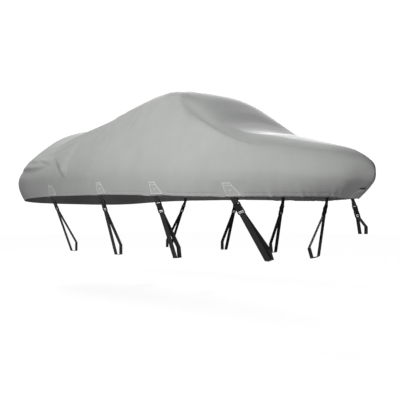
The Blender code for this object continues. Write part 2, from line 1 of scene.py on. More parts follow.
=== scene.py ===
"""A fitted grey canvas cover for a small motor boat, with its sewn patches and tie-downs."""

import math

import bpy
import numpy as np
from mathutils import Matrix, Vector


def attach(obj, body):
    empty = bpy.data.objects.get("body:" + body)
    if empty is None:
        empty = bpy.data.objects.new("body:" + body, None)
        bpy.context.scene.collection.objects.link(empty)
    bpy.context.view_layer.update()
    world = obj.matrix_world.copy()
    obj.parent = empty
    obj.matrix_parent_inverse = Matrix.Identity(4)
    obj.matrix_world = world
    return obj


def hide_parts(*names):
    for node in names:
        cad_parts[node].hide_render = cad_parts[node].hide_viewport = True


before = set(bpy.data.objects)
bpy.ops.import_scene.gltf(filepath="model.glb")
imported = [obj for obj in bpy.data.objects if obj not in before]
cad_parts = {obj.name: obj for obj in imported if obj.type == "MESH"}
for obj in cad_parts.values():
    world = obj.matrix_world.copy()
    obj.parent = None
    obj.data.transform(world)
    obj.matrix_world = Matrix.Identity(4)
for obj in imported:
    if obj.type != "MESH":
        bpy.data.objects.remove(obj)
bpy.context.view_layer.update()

# ---------------------------------------------------------------- camera
# The tables are in metres from the ground and the bow; HELD_AT is the model's origin in them.
HELD_AT = Vector((-2.645, 0.0, 2.3425))
EYE = Vector((2.74, -4.61, 0.81))
LOOKS_ALONG = 47.5
LENS = 51.3
SENSOR = 36.0
HORIZON_SHIFT = 22 / 400
FAR_LIMIT = 60.0


def named(columns, rows):
    """A table's rows by the names of their columns."""
    return [dict(zip(columns, row)) for row in rows]


def placed(name, data):
    """A new object of the scene."""
    made = bpy.data.objects.new(name, data)
    bpy.context.scene.collection.objects.link(made)
    return made


camera = placed("camera", bpy.data.cameras.new("camera"))
camera.location = EYE - HELD_AT
camera.rotation_euler = (math.radians(90), 0.0, math.radians(LOOKS_ALONG))
camera.data.lens = LENS
camera.data.sensor_width = SENSOR
camera.data.shift_y = HORIZON_SHIFT
camera.data.clip_end = FAR_LIMIT
bpy.context.scene.camera = camera

# ---------------------------------------------------------------- sizes

CLOTH = 0.002
WEBBING = 0.002
WEBBING_WIDTH = 0.060
GAP = 0.0004
ON_BAR = GAP + WEBBING / 2

# One row per rib of the cover's side, from the stem round to the middle of the stern.
RIB_COLUMNS = ("rail_x", "rail_out", "rail_z", "hem_in", "hem_z", "upright", "shoulder_in",
               "shoulder_z", "slope", "brow_in", "brow_z", "top_slope", "spine_x", "crown_z")
RIBS = (
    (0.035, 0.000, 1.245, 0.215, 1.025, 0.42, 0.36, 1.420, 40, 0.69, 1.482, 24, -0.28, 1.500),
    (0.020, 0.070, 1.246, 0.205, 1.026, 0.42, 0.36, 1.423, 40, 0.69, 1.486, 24, -0.30, 1.505),
    (-0.030, 0.155, 1.246, 0.180, 1.028, 0.40, 0.34, 1.433, 38, 0.68, 1.500, 23, -0.34, 1.520),
    (-0.130, 0.270, 1.246, 0.155, 1.032, 0.37, 0.31, 1.450, 36, 0.66, 1.520, 20, -0.40, 1.543),
    (-0.300, 0.410, 1.248, 0.125, 1.035, 0.33, 0.27, 1.470, 36, 0.63, 1.545, 17, -0.49, 1.573),
    (-0.550, 0.570, 1.258, 0.095, 1.038, 0.29, 0.23, 1.505, 38, 0.58, 1.592, 12, -0.66, 1.628),
    (-0.850, 0.745, 1.270, 0.072, 1.041, 0.26, 0.20, 1.560, 38, 0.50, 1.655, 10, -0.90, 1.697),
    (-1.050, 0.840, 1.275, 0.060, 1.045, 0.25, 0.19, 1.610, 40, 0.40, 1.690, 10, -1.07, 1.727),
    (-1.250, 0.910, 1.278, 0.045, 1.050, 0.24, 0.20, 1.690, 42, 0.35, 1.768, 16, -1.26, 1.840),
    (-1.500, 0.980, 1.281, 0.038, 1.060, 0.23, 0.24, 1.800, 45, 0.36, 1.890, 36, -1.50, 2.025),
    (-1.750, 1.030, 1.287, 0.030, 1.073, 0.23, 0.28, 1.935, 48, 0.40, 2.020, 50, -1.75, 2.200),
    (-2.050, 1.075, 1.296, 0.024, 1.088, 0.23, 0.36, 2.125, 50, 0.45, 2.215, 28, -2.05, 2.290),
    (-2.400, 1.100, 1.306, 0.017, 1.103, 0.24, 0.42, 2.170, 49, 0.58, 2.285, 14, -2.40, 2.335),
    (-2.800, 1.120, 1.314, 0.012, 1.115, 0.26, 0.44, 2.135, 48, 0.66, 2.280, 16, -2.80, 2.338),
    (-3.300, 1.130, 1.322, 0.010, 1.124, 0.30, 0.37, 2.000, 50, 0.65, 2.155, 20, -3.30, 2.240),
    (-3.800, 1.132, 1.328, 0.012, 1.132, 0.34, 0.26, 1.835, 55, 0.61, 2.075, 22, -3.80, 2.170),
    (-4.300, 1.125, 1.338, 0.020, 1.132, 0.38, 0.17, 1.700, 60, 0.58, 2.030, 25, -4.26, 2.150),
    (-4.700, 1.100, 1.350, 0.045, 1.122, 0.38, 0.14, 1.655, 62, 0.50, 2.000, 30, -4.57, 2.145),
    (-5.000, 1.025, 1.355, 0.095, 1.105, 0.38, 0.13, 1.635, 63, 0.46, 1.955, 32, -4.74, 2.125),
    (-5.160, 0.870, 1.360, 0.130, 1.095, 0.38, 0.13, 1.632, 63, 0.43, 1.935, 33, -4.82, 2.110),
    (-5.215, 0.550, 1.355, 0.125, 1.088, 0.38, 0.13, 1.622, 63, 0.43, 1.920, 33, -4.87, 2.095),
    (-5.225, 0.000, 1.352, 0.120, 1.085, 0.38, 0.14, 1.618, 63, 0.44, 1.915, 33, -4.89, 2.090),
)

# Mesh rows of a rib from the hem: heights in the skirt, then how many rows each part has
SKIRT_HEIGHTS = (0.0, 0.006, 0.012, 0.018, 0.024, 0.029, 0.033, 0.037, 0.044, 0.055, 0.070,
                 0.095, 0.125, 0.155)
TURN_ROWS = 5
SIDE_ROWS = 32
BROW_ROWS = 13
ROOF_ROWS = 18
FRONT_SPACING = 0.0175
REAR_SPACING = 0.029
PANEL_SPACING = 0.019
FRONT_ENDS_AT = -2.2

# How the skirt curves under, from the rail down to the hem: 1 would be straight
SKIRT_BEND = 1.8
# How far the curves' handles reach, as shares of the side's and the roof's size
SIDE_PULL = 0.3
ROOF_PULL = 0.3
CROWN_PULL = 0.36
RAIL_STEP = 0.01

# Tie-downs, one row a pair; the beam is what each band goes round
STRAP_COLUMNS = ("at_x", "foot_x", "foot_out", "beam")
STRAPS = (
    (-3.840, -3.850, 0.800, 0.060),
    (-2.740, -2.745, 0.860, 0.060),
    (-1.850, -1.800, 0.770, 0.060),
    (-1.010, -0.890, 0.370, 0.085),
)
BEAM_TOP = 0.545
BEAM_BOTTOM = 0.440
BOW_FOOT = (-0.090, 0.0, 0.700)
BOW_SET_BACK = 0.0195
POST_WIDTH = 0.055
BEAM_CORNER = 2 * WEBBING
POST_HIGH = 0.765
POST_LOW = 0.705

PATCH_TOP = 0.090
PATCH_BOTTOM = 0.172
PATCH_HEIGHT = 0.140
PATCH_SWEEP = 0.41
PATCH_SHIFT = 0.020
PATCH_ABOVE_HEM = 0.008
PATCH_THICK = 0.0012
PANEL_HALF = 0.110
PANEL_FADE = 0.11
PANEL_FADE_ROWS = 13
BOW_FADE = 0.26
BOW_FADE_ROWS = 24
BOW_PANEL = (-0.050, -0.085, 0.0)
BOW_PATCH_HEIGHT = 0.125
BOW_BAND_HEIGHT = 0.018
BOW_BAND_WIDTH = 0.112
FOLD = 0.004

# Side-release buckle: x across, y outward, z up the strap from its top bar
BUCKLE_WIDTH = 0.074
BUCKLE_THICK = 0.015
BUCKLE_EDGE = 0.0022
CUT_EDGE = 0.0004
BAR = 0.006
SLOT_WIDTH = 0.063
SLOT_HEIGHT = 0.009
SOCKET_LENGTH = 0.072
PLUG_BASE = 0.048
ADJUSTER_LOW = 0.021
ADJUSTER_HIGH = 0.030
TAB_LENGTH = 0.070
TAB_UNDER = 0.045
TAB_BEND = 0.014
TAB_MEETS = 0.016
TAB_ENDS = 0.032
WRAP = BAR / 2 + ON_BAR
THICK = BUCKLE_THICK / 2
HALF = BUCKLE_WIDTH / 2
SOCKET_TOP = BAR / 2
SOCKET_BOTTOM = BAR / 2 - SOCKET_LENGTH
BODY_TOP = -BAR / 2 - SLOT_HEIGHT
PLUG_TOP = SOCKET_BOTTOM - GAP
PLUG_BOTTOM = PLUG_TOP - PLUG_BASE

# ---------------------------------------------------------------- finishes

CLOTH_UV = "cloth"
THREADS_PER_METRE = 900.0
CHEVRON = 0.0024
CHEVRON_COLUMN = 0.0050
WEB_CHANNEL = 0.0100


class Wire:
    """A value in a shader tree. Arithmetic on it adds the nodes that work it out."""

    def __init__(self, tree, socket):
        self.tree, self.socket = tree, socket

    def into(self, socket):
        self.tree.links.new(self.socket, socket)

    def outputs(self):
        """Every output of this wire's node."""
        return [Wire(self.tree, socket) for socket in self.socket.node.outputs]

    def math(self, operation, other=None):
        inputs = {0: self} if other is None else {0: self, 1: other}
        return node(self.tree, "Math", inputs, operation=operation)

    def __add__(self, other):
        return self.math("ADD", other)

    def __mul__(self, other):
        return self.math("MULTIPLY", other)

    def eased(self, low, high, to_low, to_high):
        """Its range from low to high softly mapped to another."""
        return node(self.tree, "MapRange",
                    {"Value": self, "From Min": low, "From Max": high, "To Min": to_low,
                     "To Max": to_high}, interpolation_type="SMOOTHSTEP")

    def noise(self, scale, detail, roughness=0.5, stretch=(1, 1, 1)):
        """A noise pattern at this place, long in the directions whose number is small."""
        place = node(self.tree, "Mapping", {"Vector": self, "Scale": stretch})
        return node(self.tree, "TexNoise", {"Vector": place, "Scale": scale, "Detail": detail,
                                            "Roughness": roughness}, "Fac")

    def through(self, group, **values):
        """What a shared effect gives at this place: its outputs in order."""
        inputs = {label.replace("_", " "): value for label, value in values.items()}
        return node(self.tree, "Group", {"Place": self, **inputs}, node_tree=group).outputs()


def node(tree, kind, inputs, output=0, **settings):
    """One output of a new shader node, whose inputs are wires or plain values."""
    made = tree.nodes.new("ShaderNode" + kind)
    for name, value in settings.items():
        setattr(made, name, value)
    for label, value in inputs.items():
        if isinstance(value, Wire):
            value.into(made.inputs[label])
        else:
            made.inputs[label].default_value = value
    return Wire(tree, made.outputs[output])


def effect_group(name, build, setting, value, *outputs):
    """A shared effect as a node group, from a place and one setting to its outputs."""
    tree = bpy.data.node_groups.new(name, "ShaderNodeTree")
    tree.interface.new_socket("Place", in_out="INPUT", socket_type="NodeSocketVector")
    number = tree.interface.new_socket(setting, in_out="INPUT", socket_type="NodeSocketFloat")
    number.default_value = value
    for label in outputs:
        tree.interface.new_socket(label, in_out="OUTPUT", socket_type="NodeSocketFloat")
    start, end = tree.nodes.new("NodeGroupInput"), tree.nodes.new("NodeGroupOutput")
    results = build(Wire(tree, start.outputs[0]), Wire(tree, start.outputs[1]))
    for result, socket in zip(results, end.inputs):
        result.into(socket)
    return tree


def plain_weave(place, threads):
    """Over-and-under threads in the cloth's own metres: their height, and a painted shade that is
    darker where the threads dip and lighter on their tops.
    """
    scaled = node(place.tree, "VectorMath", {0: place, "Scale": threads}, operation="SCALE")
    along, across, _ = node(place.tree, "SeparateXYZ", {0: scaled}).outputs()
    warp, weft = ((part * math.pi).math("SINE").math("ABSOLUTE") for part in (along, across))
    over = node(place.tree, "TexChecker", {"Vector": scaled, "Scale": 1.0}, "Fac")
    mixed = node(place.tree, "Mix", {"Factor": over, "A": warp, "B": weft}, "Result")
    height = mixed + place.noise(260.0, 2.0, stretch=(1, 0.06, 1)) * 0.5
    # The second output is painted shade: the colour follows the threads' height, darker in the
    # dips and lighter on the tops.
    return height, height.eased(0.1, 1.3, 0.90, 1.06)


def slack_cloth(place, size):
    """The small soft ripples of a cloth that isn't stretched everywhere."""
    broad = place.noise(size, 3.0, 0.45, (1, 1, 1.6))
    return [broad + place.noise(size * 5.5, 2.0, 0.5, (1.5, 1, 0.6)) * 0.10]


def weathering(place, amount):
    """Sun-faded clouds, dust and faint runs: a multiplier of the colour, and the dust."""
    clouds = place.noise(1.3, 4.0, 0.55)
    runs = place.noise(9.0, 3.0, 0.6, (1, 1, 0.12))
    specks = place.noise(55.0, 3.0, 0.65)
    shade = (clouds.eased(0.3, 0.7, -0.030, 0.030) + runs.eased(0.35, 0.7, 0.012, -0.018)
             + specks.eased(0.3, 0.8, -0.010, 0.014))
    return shade * amount + 1.0, clouds.eased(0.45, 0.75, 0, 1) * specks.eased(0.4, 0.7, 0.2, 1)


def webbing_rib(place, half_width):
    """Heavy woven tape: cross ribs in a chevron, with a bound edge on each side, and a painted
    shade that is darker in the channels and lighter on the ribs and bound edges.
    """
    across, along, _ = node(place.tree, "SeparateXYZ", {0: place}).outputs()
    out = across.math("ABSOLUTE")
    lean = along + out.math("PINGPONG", CHEVRON_COLUMN) * 0.7
    share = out.math("DIVIDE", half_width)
    rib = (lean * (2 * math.pi / CHEVRON)).math("SINE") * share.eased(0.90, 0.94, 1, 0) * 0.5
    channel = (across * (2 * math.pi / WEB_CHANNEL)).math("COSINE") * 0.35
    height = rib + channel + share.eased(0.90, 0.94, 0, 1)
    # The second output is painted shade and highlight: the colour follows the height, darker in
    # the channels, lighter on the ribs and edges.
    return height, height.eased(-0.8, 1.0, 0.75, 1.35)


def moulded_grain(place, size):
    """The fine spark-eroded grain of a plastic mould, and the polish on handled edges."""
    return place.noise(size, 3.0, 0.6), place.noise(90.0, 3.0, 0.6).eased(0.45, 0.7, 0, 1)


# The Shade outputs of the weave and the webbing rib are painted shade taken from their height; the
# weathering's Shade is its fading and dust.
WEAVE = effect_group("plain weave", plain_weave, "Threads per metre", 1400.0, "Height", "Shade")
SLACK = effect_group("slack cloth", slack_cloth, "Size", 3.0, "Height")
WEATHER = effect_group("weathering", weathering, "Amount", 1.0, "Shade", "Dust")
RIBBED = effect_group("webbing rib", webbing_rib, "Half width", 0.030, "Height", "Shade")
GRAIN = effect_group("moulded grain", moulded_grain, "Size", 1400.0, "Height", "Rub")


class Finish:
    """A material being mixed: its Principled shader and its coordinates."""

    def __init__(self, name, roughness, **constants):
        self.material = bpy.data.materials.new(name)
        self.material.use_nodes = True
        tree = self.material.node_tree
        self.shader = tree.nodes["Principled BSDF"].inputs
        self.shader["Roughness"].default_value = roughness
        for label, value in constants.items():
            self.shader[label.replace("_", " ")].default_value = value
        self.solid = node(tree, "TexCoord", {}, "Object")
        self.flat = node(tree, "UVMap", {}, uv_map=CLOTH_UV)

    def coloured(self, base, shade):
        """The base colour times a shade."""
        made = node(shade.tree, "VectorMath", {0: base, "Scale": shade}, operation="SCALE")
        made.into(self.shader["Base Color"])

    def bumped(self, *layers):
        """Bump nodes in a row, each a height with its strength and distance."""
        under = {}
        for height, strength, distance in layers:
            inputs = {"Height": height, "Strength": strength, "Distance": distance}
            under = {"Normal": node(height.tree, "Bump", {**inputs, **under})}
        under["Normal"].into(self.shader["Normal"])
        return self.material


CANVAS_GREY = (0.400, 0.408, 0.400)
PATCH_GREY = (0.422, 0.430, 0.422)
WEBBING_BLACK = (0.022, 0.022, 0.024)
PLASTIC_BLACK = (0.014, 0.014, 0.015)
WHITE_THREAD = (0.86, 0.86, 0.84)
GREY_THREAD = (0.24, 0.245, 0.24)
BLACK_THREAD = (0.03, 0.03, 0.032)


def canvas_finish(name, grey, ripple):
    """Coated polyester: a plain weave that faintly shines, with slack and weathering."""
    finish = Finish(name, 0.70, Specular_IOR_Level=0.05)
    weave, shade = finish.flat.through(WEAVE, Threads_per_metre=THREADS_PER_METRE)
    slack, = finish.solid.through(SLACK, Size=3.2)
    weather, dust = finish.solid.through(WEATHER)
    # The colour is the weave's painted shade, darker where the threads dip, times the weathering's
    # fading and dust.
    finish.coloured(grey, shade * weather)
    dust.eased(0, 1, 0.66, 0.76).into(finish.shader["Roughness"])
    return finish.bumped((slack, 0.55, ripple), (weave, 0.30, 0.0001))


def webbing_finish():
    finish = Finish("black webbing", 0.55, Sheen_Weight=0.10, Sheen_Roughness=0.4)
    ribs, shade = finish.flat.through(RIBBED)
    # The colour is the ribs' painted shade and highlight, darker in the channels and lighter on
    # the ribs, times the weathering.
    finish.coloured(WEBBING_BLACK, shade * finish.solid.through(WEATHER, Amount=3.0)[0])
    return finish.bumped((ribs, 0.7, 0.0004))


def thread_finish(name, base):
    finish = Finish(name, 0.5, Sheen_Weight=0.2)
    finish.coloured(base, finish.solid.through(WEATHER, Amount=1.5)[0])
    return finish.bumped((finish.solid.noise(900.0, 1.0), 0.4, 0.0003))


def plastic_finish():
    finish = Finish("black plastic", 0.35)
    grain, rub = finish.solid.through(GRAIN)
    rub.eased(0, 1, 0.38, 0.24).into(finish.shader["Roughness"])
    finish.coloured(PLASTIC_BLACK, finish.solid.through(WEATHER, Amount=2.0)[0])
    return finish.bumped((grain, 0.25, 0.00015))


CANVAS = canvas_finish("grey canvas", CANVAS_GREY, 0.006)
PATCH_CANVAS = canvas_finish("patch canvas", PATCH_GREY, 0.0010)
BLACK_WEB = webbing_finish()
MOULDED = plastic_finish()
PATCH_THREAD = thread_finish("white thread", WHITE_THREAD)
HEM_THREAD = thread_finish("grey thread", GREY_THREAD)
WEB_THREAD = thread_finish("black thread", BLACK_THREAD)

# ---------------------------------------------------------------- making pieces


def piece(name, points, faces, finish, slot, uvs=None):
    """A mesh of the object in the model's place, with its finish, on the body; the slot it is
    given is not used.
    """
    mesh = bpy.data.meshes.new(name)
    mesh.from_pydata([tuple(Vector(p) - HELD_AT) for p in points], [], faces)
    mesh.update()
    if uvs is not None:
        layer = mesh.uv_layers.new(name=CLOTH_UV)
        corners = np.empty(len(mesh.loops), np.int32)
        mesh.loops.foreach_get("vertex_index", corners)
        layer.data.foreach_set("uv", np.asarray(uvs, np.float32)[corners].ravel())
    mesh.shade_smooth()
    mesh.materials.append(finish)
    made = placed(name, mesh)
    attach(made, "root")
    return made


def thickened(cloth, thick):
    """Gives a sheet its thickness inwards."""
    layer = cloth.modifiers.new("cloth thickness", "SOLIDIFY")
    layer.thickness = thick
    layer.offset = -1.0


def facing_out(points, faces):
    """The faces turned so that the closed form's volume is positive."""
    volume = 0.0
    for face in faces:
        first = Vector(points[face[0]])
        for second, third in zip(face[1:-1], face[2:]):
            volume += first.dot(Vector(points[second]).cross(Vector(points[third])))
    return faces if volume > 0 else [face[::-1] for face in faces]


def ring_faces(rings, sides, closed=False, first=0):
    """Quads along a row of rings of points; a row that isn't closed has its ends capped."""
    faces = []
    for k in range(rings if closed else rings - 1):
        here, there = first + sides * k, first + sides * ((k + 1) % rings)
        for side in range(sides):
            beside = (side + 1) % sides
            faces.append((here + side, there + side, there + beside, here + beside))
    if not closed:
        faces.append(tuple(range(first, first + sides)))
        faces.append(tuple(range(first + sides * rings - 1, first + sides * (rings - 1) - 1, -1)))
    return faces


def joined(parts):
    """Several (points, faces) as one."""
    points, faces = [], []
    for more_points, more_faces in parts:
        base = len(points)
        points += [tuple(p) for p in more_points]
        faces += [tuple(base + k for k in face) for face in more_faces]
    return points, faces


def unit(vectors):
    return vectors / np.linalg.norm(vectors, axis=-1, keepdims=True)


def distances(path):
    """How far along its line each point of a path is."""
    runs = np.linalg.norm(np.diff(path, axis=0), axis=1)
    return np.concatenate([[0.0], np.cumsum(runs)])


SHARP = 50
STITCH_SIDES = 6
# Along a stitch: share of its length, of its thickness, and its height off the cloth
STITCH_SHAPE = ((0.0, 0.35, -0.3), (0.2, 0.9, 0.25), (0.5, 1.0, 0.45), (0.8, 0.9, 0.25),
                (1.0, 0.35, -0.3))


def stitches(path, normals, length, gap, width, high):
    """Separate stitches along a line: each dips into the cloth at both ends."""
    path, normals = np.asarray(path, float), np.asarray(normals, float)
    runs = distances(path)
    count = max(1, int(round(runs[-1] / (length + gap))))
    pitch = runs[-1] / count
    share, fat, lift = np.array(STITCH_SHAPE).T
    at = np.arange(count)[:, None] * pitch + gap / 2 + share * (pitch - gap)
    middles, ups = (np.stack([np.interp(at, runs, line[:, k]) for k in range(3)], axis=2)
                    for line in (path, normals))
    ups = unit(ups)
    sides = np.cross(unit(middles[:, -1:] - middles[:, :1]), ups)
    turn = 2 * math.pi * np.arange(STITCH_SIDES) / STITCH_SIDES
    raised = high * (lift[:, None] + np.outer(fat, np.sin(turn)) / 2)
    aside = width / 2 * np.outer(fat, np.cos(turn))
    points = (middles[:, :, None] + ups[:, :, None] * raised[..., None]
              + sides[:, :, None] * aside[..., None])
    faces = [face[::-1] for index in range(count)
             for face in ring_faces(len(fat), STITCH_SIDES, first=index * raised.size)]
    return points.reshape(-1, 3), faces


# ---------------------------------------------------------------- the cover's form


def smooth_column(knots, values, at):
    """A smooth curve through a column of the table, with slopes from its neighbours."""
    slopes = np.gradient(values, knots)
    row = np.clip(np.searchsorted(knots, at) - 1, 0, len(knots) - 2)
    span = knots[row + 1] - knots[row]
    t = (at - knots[row]) / span
    start = (1 + 2 * t) * (1 - t) ** 2 * values[row] + t * (1 - t) ** 2 * span * slopes[row]
    end = t * t * (3 - 2 * t) * values[row + 1] + t * t * (t - 1) * span * slopes[row + 1]
    return start + end


def bezier(p0, p1, p2, p3, count):
    """Points after p0 up to p3, for many ribs at once: ribs, points, (inboard, height)."""
    t = np.linspace(0, 1, count + 1)[None, 1:, None]
    p0, p1, p2, p3 = (p[:, None, :] for p in (p0, p1, p2, p3))
    return (1 - t) ** 3 * p0 + 3 * t * (1 - t) ** 2 * p1 + 3 * t * t * (1 - t) * p2 + t ** 3 * p3


def pair(first, second):
    return np.stack([first, second], axis=-1)


def heading(slope):
    return pair(np.cos(np.radians(slope)), np.sin(np.radians(slope)))


def soft_step(value, low, high):
    t = np.clip((value - low) / (high - low), 0, 1)
    return t * t * (3 - 2 * t)


class Hull:
    """The rib table as smooth columns along the rail, measured from the stem."""

    def __init__(self):
        self.table = {name: np.array(column, float)
                      for name, column in zip(RIB_COLUMNS, zip(*RIBS))}
        steps = np.hypot(np.diff(self.table["rail_x"]), np.diff(self.table["rail_out"]))
        self.knots = np.concatenate([[0.0], np.cumsum(steps)])
        self.length = self.knots[-1]
        self.long_knots = np.concatenate([
            -self.knots[2:0:-1], self.knots, 2 * self.length - self.knots[-2:-4:-1]])

    def at(self, name, along):
        """A column at a distance along the rail; past either end it is mirrored."""
        values, sign = self.table[name], -1.0 if name == "rail_out" else 1.0
        values = np.concatenate([sign * values[2:0:-1], values, sign * values[-2:-4:-1]])
        return smooth_column(self.long_knots, values, np.asarray(along, float))

    def along_at(self, rail_x):
        return float(np.interp(-rail_x, -self.table["rail_x"], self.knots))

    def ribs(self, along):
        """Ribs at several distances along the rail, hem to spine, on the starboard side."""
        along = np.atleast_1d(np.asarray(along, float))
        (rail_x, rail_out, rail_z, hem_in, hem_z, upright, shoulder_in, shoulder_z, slope,
         brow_in, brow_z, top_slope, spine_x, crown_z) = (
            self.at(name, along) for name in RIB_COLUMNS)
        zero = 0 * along
        rail = pair(rail_x, -rail_out)
        to_spine = pair(spine_x, zero) - rail
        reach = np.linalg.norm(to_spine, axis=1)
        inboard = to_spine / reach[:, None]
        tall = (rail_z - hem_z)[:, None]
        low_shares = np.array(SKIRT_HEIGHTS) / tall
        steps = np.linspace(0, 1, TURN_ROWS + 1)[None, 1:]
        high_shares = low_shares[:, -1:] + steps * (1 - low_shares[:, -1:])
        shares = np.concatenate([low_shares, high_shares], axis=1)
        skirt = pair(hem_in[:, None] * (1 - shares) ** SKIRT_BEND,
                     hem_z[:, None] + shares * tall)
        widest = pair(zero, rail_z)
        shoulder = pair(shoulder_in * reach, shoulder_z)
        brow = pair(brow_in * reach, brow_z)
        crown = pair(reach, crown_z)
        climb, level_off = heading(slope), heading(top_slope)
        height = np.linalg.norm(shoulder - widest, axis=1)[:, None]
        side = bezier(widest, widest + pair(zero, upright * height[:, 0]),
                      shoulder - SIDE_PULL * height * climb, shoulder, SIDE_ROWS)
        step = (brow - shoulder) / 6
        half_third = np.linalg.norm(step, axis=1)[:, None]
        front = bezier(shoulder, shoulder + step + half_third * climb,
                       brow - step - half_third * level_off, brow, BROW_ROWS)
        top = (crown - brow)[:, :1]
        roof = bezier(brow, brow + ROOF_PULL * top * level_off,
                      crown - top * (CROWN_PULL, 0), crown, ROOF_ROWS)
        profile = np.concatenate([skirt, side, front, roof], axis=1)
        plan = rail[:, None] + profile[..., :1] * inboard[:, None]
        return np.concatenate([plan, profile[..., 1:]], axis=2)

    def rail_heading(self, along):
        """The level direction along the rail, towards the bow."""
        near, far = along - RAIL_STEP, along + RAIL_STEP
        return unit(np.array([self.at("rail_x", near) - self.at("rail_x", far),
                              self.at("rail_out", far) - self.at("rail_out", near), 0.0]))


def row_shares():
    """Each mesh row as a share of the way from hem to spine, in the rib's five parts."""
    parts = ((len(SKIRT_HEIGHTS) - 1, 0, 2), (TURN_ROWS, 2, 4), (SIDE_ROWS, 4, 8),
             (BROW_ROWS, 8, 10), (ROOF_ROWS, 10, 14))
    steps = [np.linspace(low, high, count + 1)[1:] for count, low, high in parts]
    return np.concatenate([[0.0]] + steps) / 14


SHARES = row_shares()
SKIRT_TOP_ROW = len(SKIRT_HEIGHTS) - 1
RAIL_ROW = SKIRT_TOP_ROW + TURN_ROWS
hull = Hull()
PANEL_PLACES = [hull.along_at(row[0]) for row in STRAPS]


def rib_places():
    """Distances along the rail: even within each panel, and close together at the bow."""
    marks = [0.0, PANEL_HALF]
    for middle in sorted(PANEL_PLACES):
        marks += [middle - PANEL_HALF, middle + PANEL_HALF]
    marks.append(hull.length)
    places = [0.0]
    for index, (low, high) in enumerate(zip(marks, marks[1:])):
        if index % 2 == 0:
            spacing = PANEL_SPACING
        elif hull.at("rail_x", (low + high) / 2) > FRONT_ENDS_AT:
            spacing = FRONT_SPACING
        else:
            spacing = REAR_SPACING
        count = max(1, round((high - low) / spacing))
        places += list(np.linspace(low, high, count + 1)[1:])
    return np.array(places)


PLACES = rib_places()
# All the way round, and the same with the port side's ribs as far from the stem as starboard's
ROUND_IT = np.concatenate([PLACES, 2 * hull.length - PLACES[-2:0:-1]])
FROM_STEM = np.concatenate([PLACES, PLACES[-2:0:-1]])


def panels_flattened(ribs):
    """Each strap's panel of the skirt is one flat piece, and the cloth eases back beside it."""
    out = ribs.copy()
    jobs = [(middle, -hull.rail_heading(middle), PANEL_FADE, PANEL_FADE_ROWS)
            for middle in PANEL_PLACES]
    jobs.append((0.0, np.array(BOW_PANEL) / PANEL_HALF, BOW_FADE, BOW_FADE_ROWS))
    shares = np.array(SKIRT_HEIGHTS)[:, None] / SKIRT_HEIGHTS[-1]
    for middle, aside, reach, above in jobs:
        rows = hull.ribs(middle)[0][:SKIRT_TOP_ROW + 1]
        straight = rows[0] + shares * (rows[-1] - rows[0])
        offset = (PLACES - middle)[:, None, None]
        change = straight + offset * aside - ribs[:, :SKIRT_TOP_ROW + 1]
        change = np.concatenate([change, np.repeat(change[:, -1:], above, axis=1)], axis=1)
        fade = 1 - soft_step(np.arange(above), -1, above)
        fade = np.concatenate([np.ones(SKIRT_TOP_ROW + 1), fade])[:, None]
        weight = 1 - soft_step(np.abs(offset), PANEL_HALF, PANEL_HALF + reach)
        out[:, :len(fade)] += weight * fade * change
    return out


def outward_normals(ring):
    """The cloth's outward direction at every point of the ring."""
    round_it = np.roll(ring, -1, axis=0) - np.roll(ring, 1, axis=0)
    normals = np.cross(np.gradient(ring, axis=1), round_it)
    return normals / (np.linalg.norm(normals, axis=2)[..., None] + 1e-12)


# Creases: where each starts, passes and ends as (rail x, share up the rib); width and depth
# in metres. `lean` makes one side of a ridge steeper: 0 is even, 1 or -1 is a tuck.
CREASE_COLUMNS = ("side", "start", "middle", "end", "width", "depth", "lean")
CREASES = (
    # from the hump's shoulder down towards the stern
    ("starboard", (-2.86, 0.61), (-2.89, 0.53), (-2.95, 0.44), 0.045, 0.026, 0.55),
    ("starboard", (-2.98, 0.60), (-3.09, 0.54), (-3.20, 0.47), 0.042, 0.018, 0.45),
    ("starboard", (-2.47, 0.59), (-2.45, 0.51), (-2.44, 0.43), 0.046, 0.016, 0.5),
    # the stern's upper edge, with its crumple
    ("starboard", (-5.05, 0.50), (-4.60, 0.44), (-4.05, 0.42), 0.090, 0.036, 0.85),
    ("starboard", (-4.42, 0.52), (-4.17, 0.46), (-3.98, 0.42), 0.036, 0.020, 0.7),
    ("starboard", (-4.78, 0.55), (-4.52, 0.52), (-4.30, 0.46), 0.044, 0.016, 0.6),
    # long pulls under the spine, aft of the hump
    ("starboard", (-4.35, 0.62), (-3.82, 0.61), (-3.25, 0.57), 0.060, 0.026, 0.6),
    ("starboard", (-4.10, 0.75), (-3.60, 0.72), (-3.05, 0.72), 0.070, 0.018, 0.3),
    # the roof's front corner, and the edge between foredeck and side
    ("starboard", (-1.98, 0.80), (-1.92, 0.70), (-1.68, 0.60), 0.090, 0.024, 0.5),
    ("starboard", (-1.74, 0.63), (-1.28, 0.57), (-0.70, 0.50), 0.060, 0.018, -0.5),
    # port, much the same but never alike
    ("port", (-2.92, 0.66), (-3.00, 0.55), (-3.08, 0.45), 0.044, 0.028, 0.6),
    ("port", (-2.55, 0.62), (-2.50, 0.52), (-2.46, 0.44), 0.040, 0.018, 0.5),
    ("port", (-4.95, 0.49), (-4.55, 0.44), (-4.00, 0.42), 0.080, 0.028, -0.8),
    ("port", (-4.60, 0.55), (-4.35, 0.50), (-4.10, 0.47), 0.044, 0.018, 0.5),
    ("port", (-4.20, 0.70), (-3.70, 0.68), (-3.10, 0.66), 0.060, 0.020, 0.4),
    ("port", (-1.90, 0.86), (-1.95, 0.74), (-1.76, 0.63), 0.070, 0.022, -0.5),
    # across the stern
    ("starboard", (-5.16, 0.54), (-5.20, 0.42), (-5.21, 0.31), 0.060, 0.020, 0.5),
    ("port", (-5.10, 0.55), (-5.18, 0.45), (-5.20, 0.34), 0.060, 0.020, -0.5),
    ("starboard", (-5.215, 0.60), (-5.22, 0.50), (-5.16, 0.38), 0.055, -0.016, 0.0),
)
CREASE_STEPS = 9
CREASE_REACH = 4.0
CREASE_END = 0.03
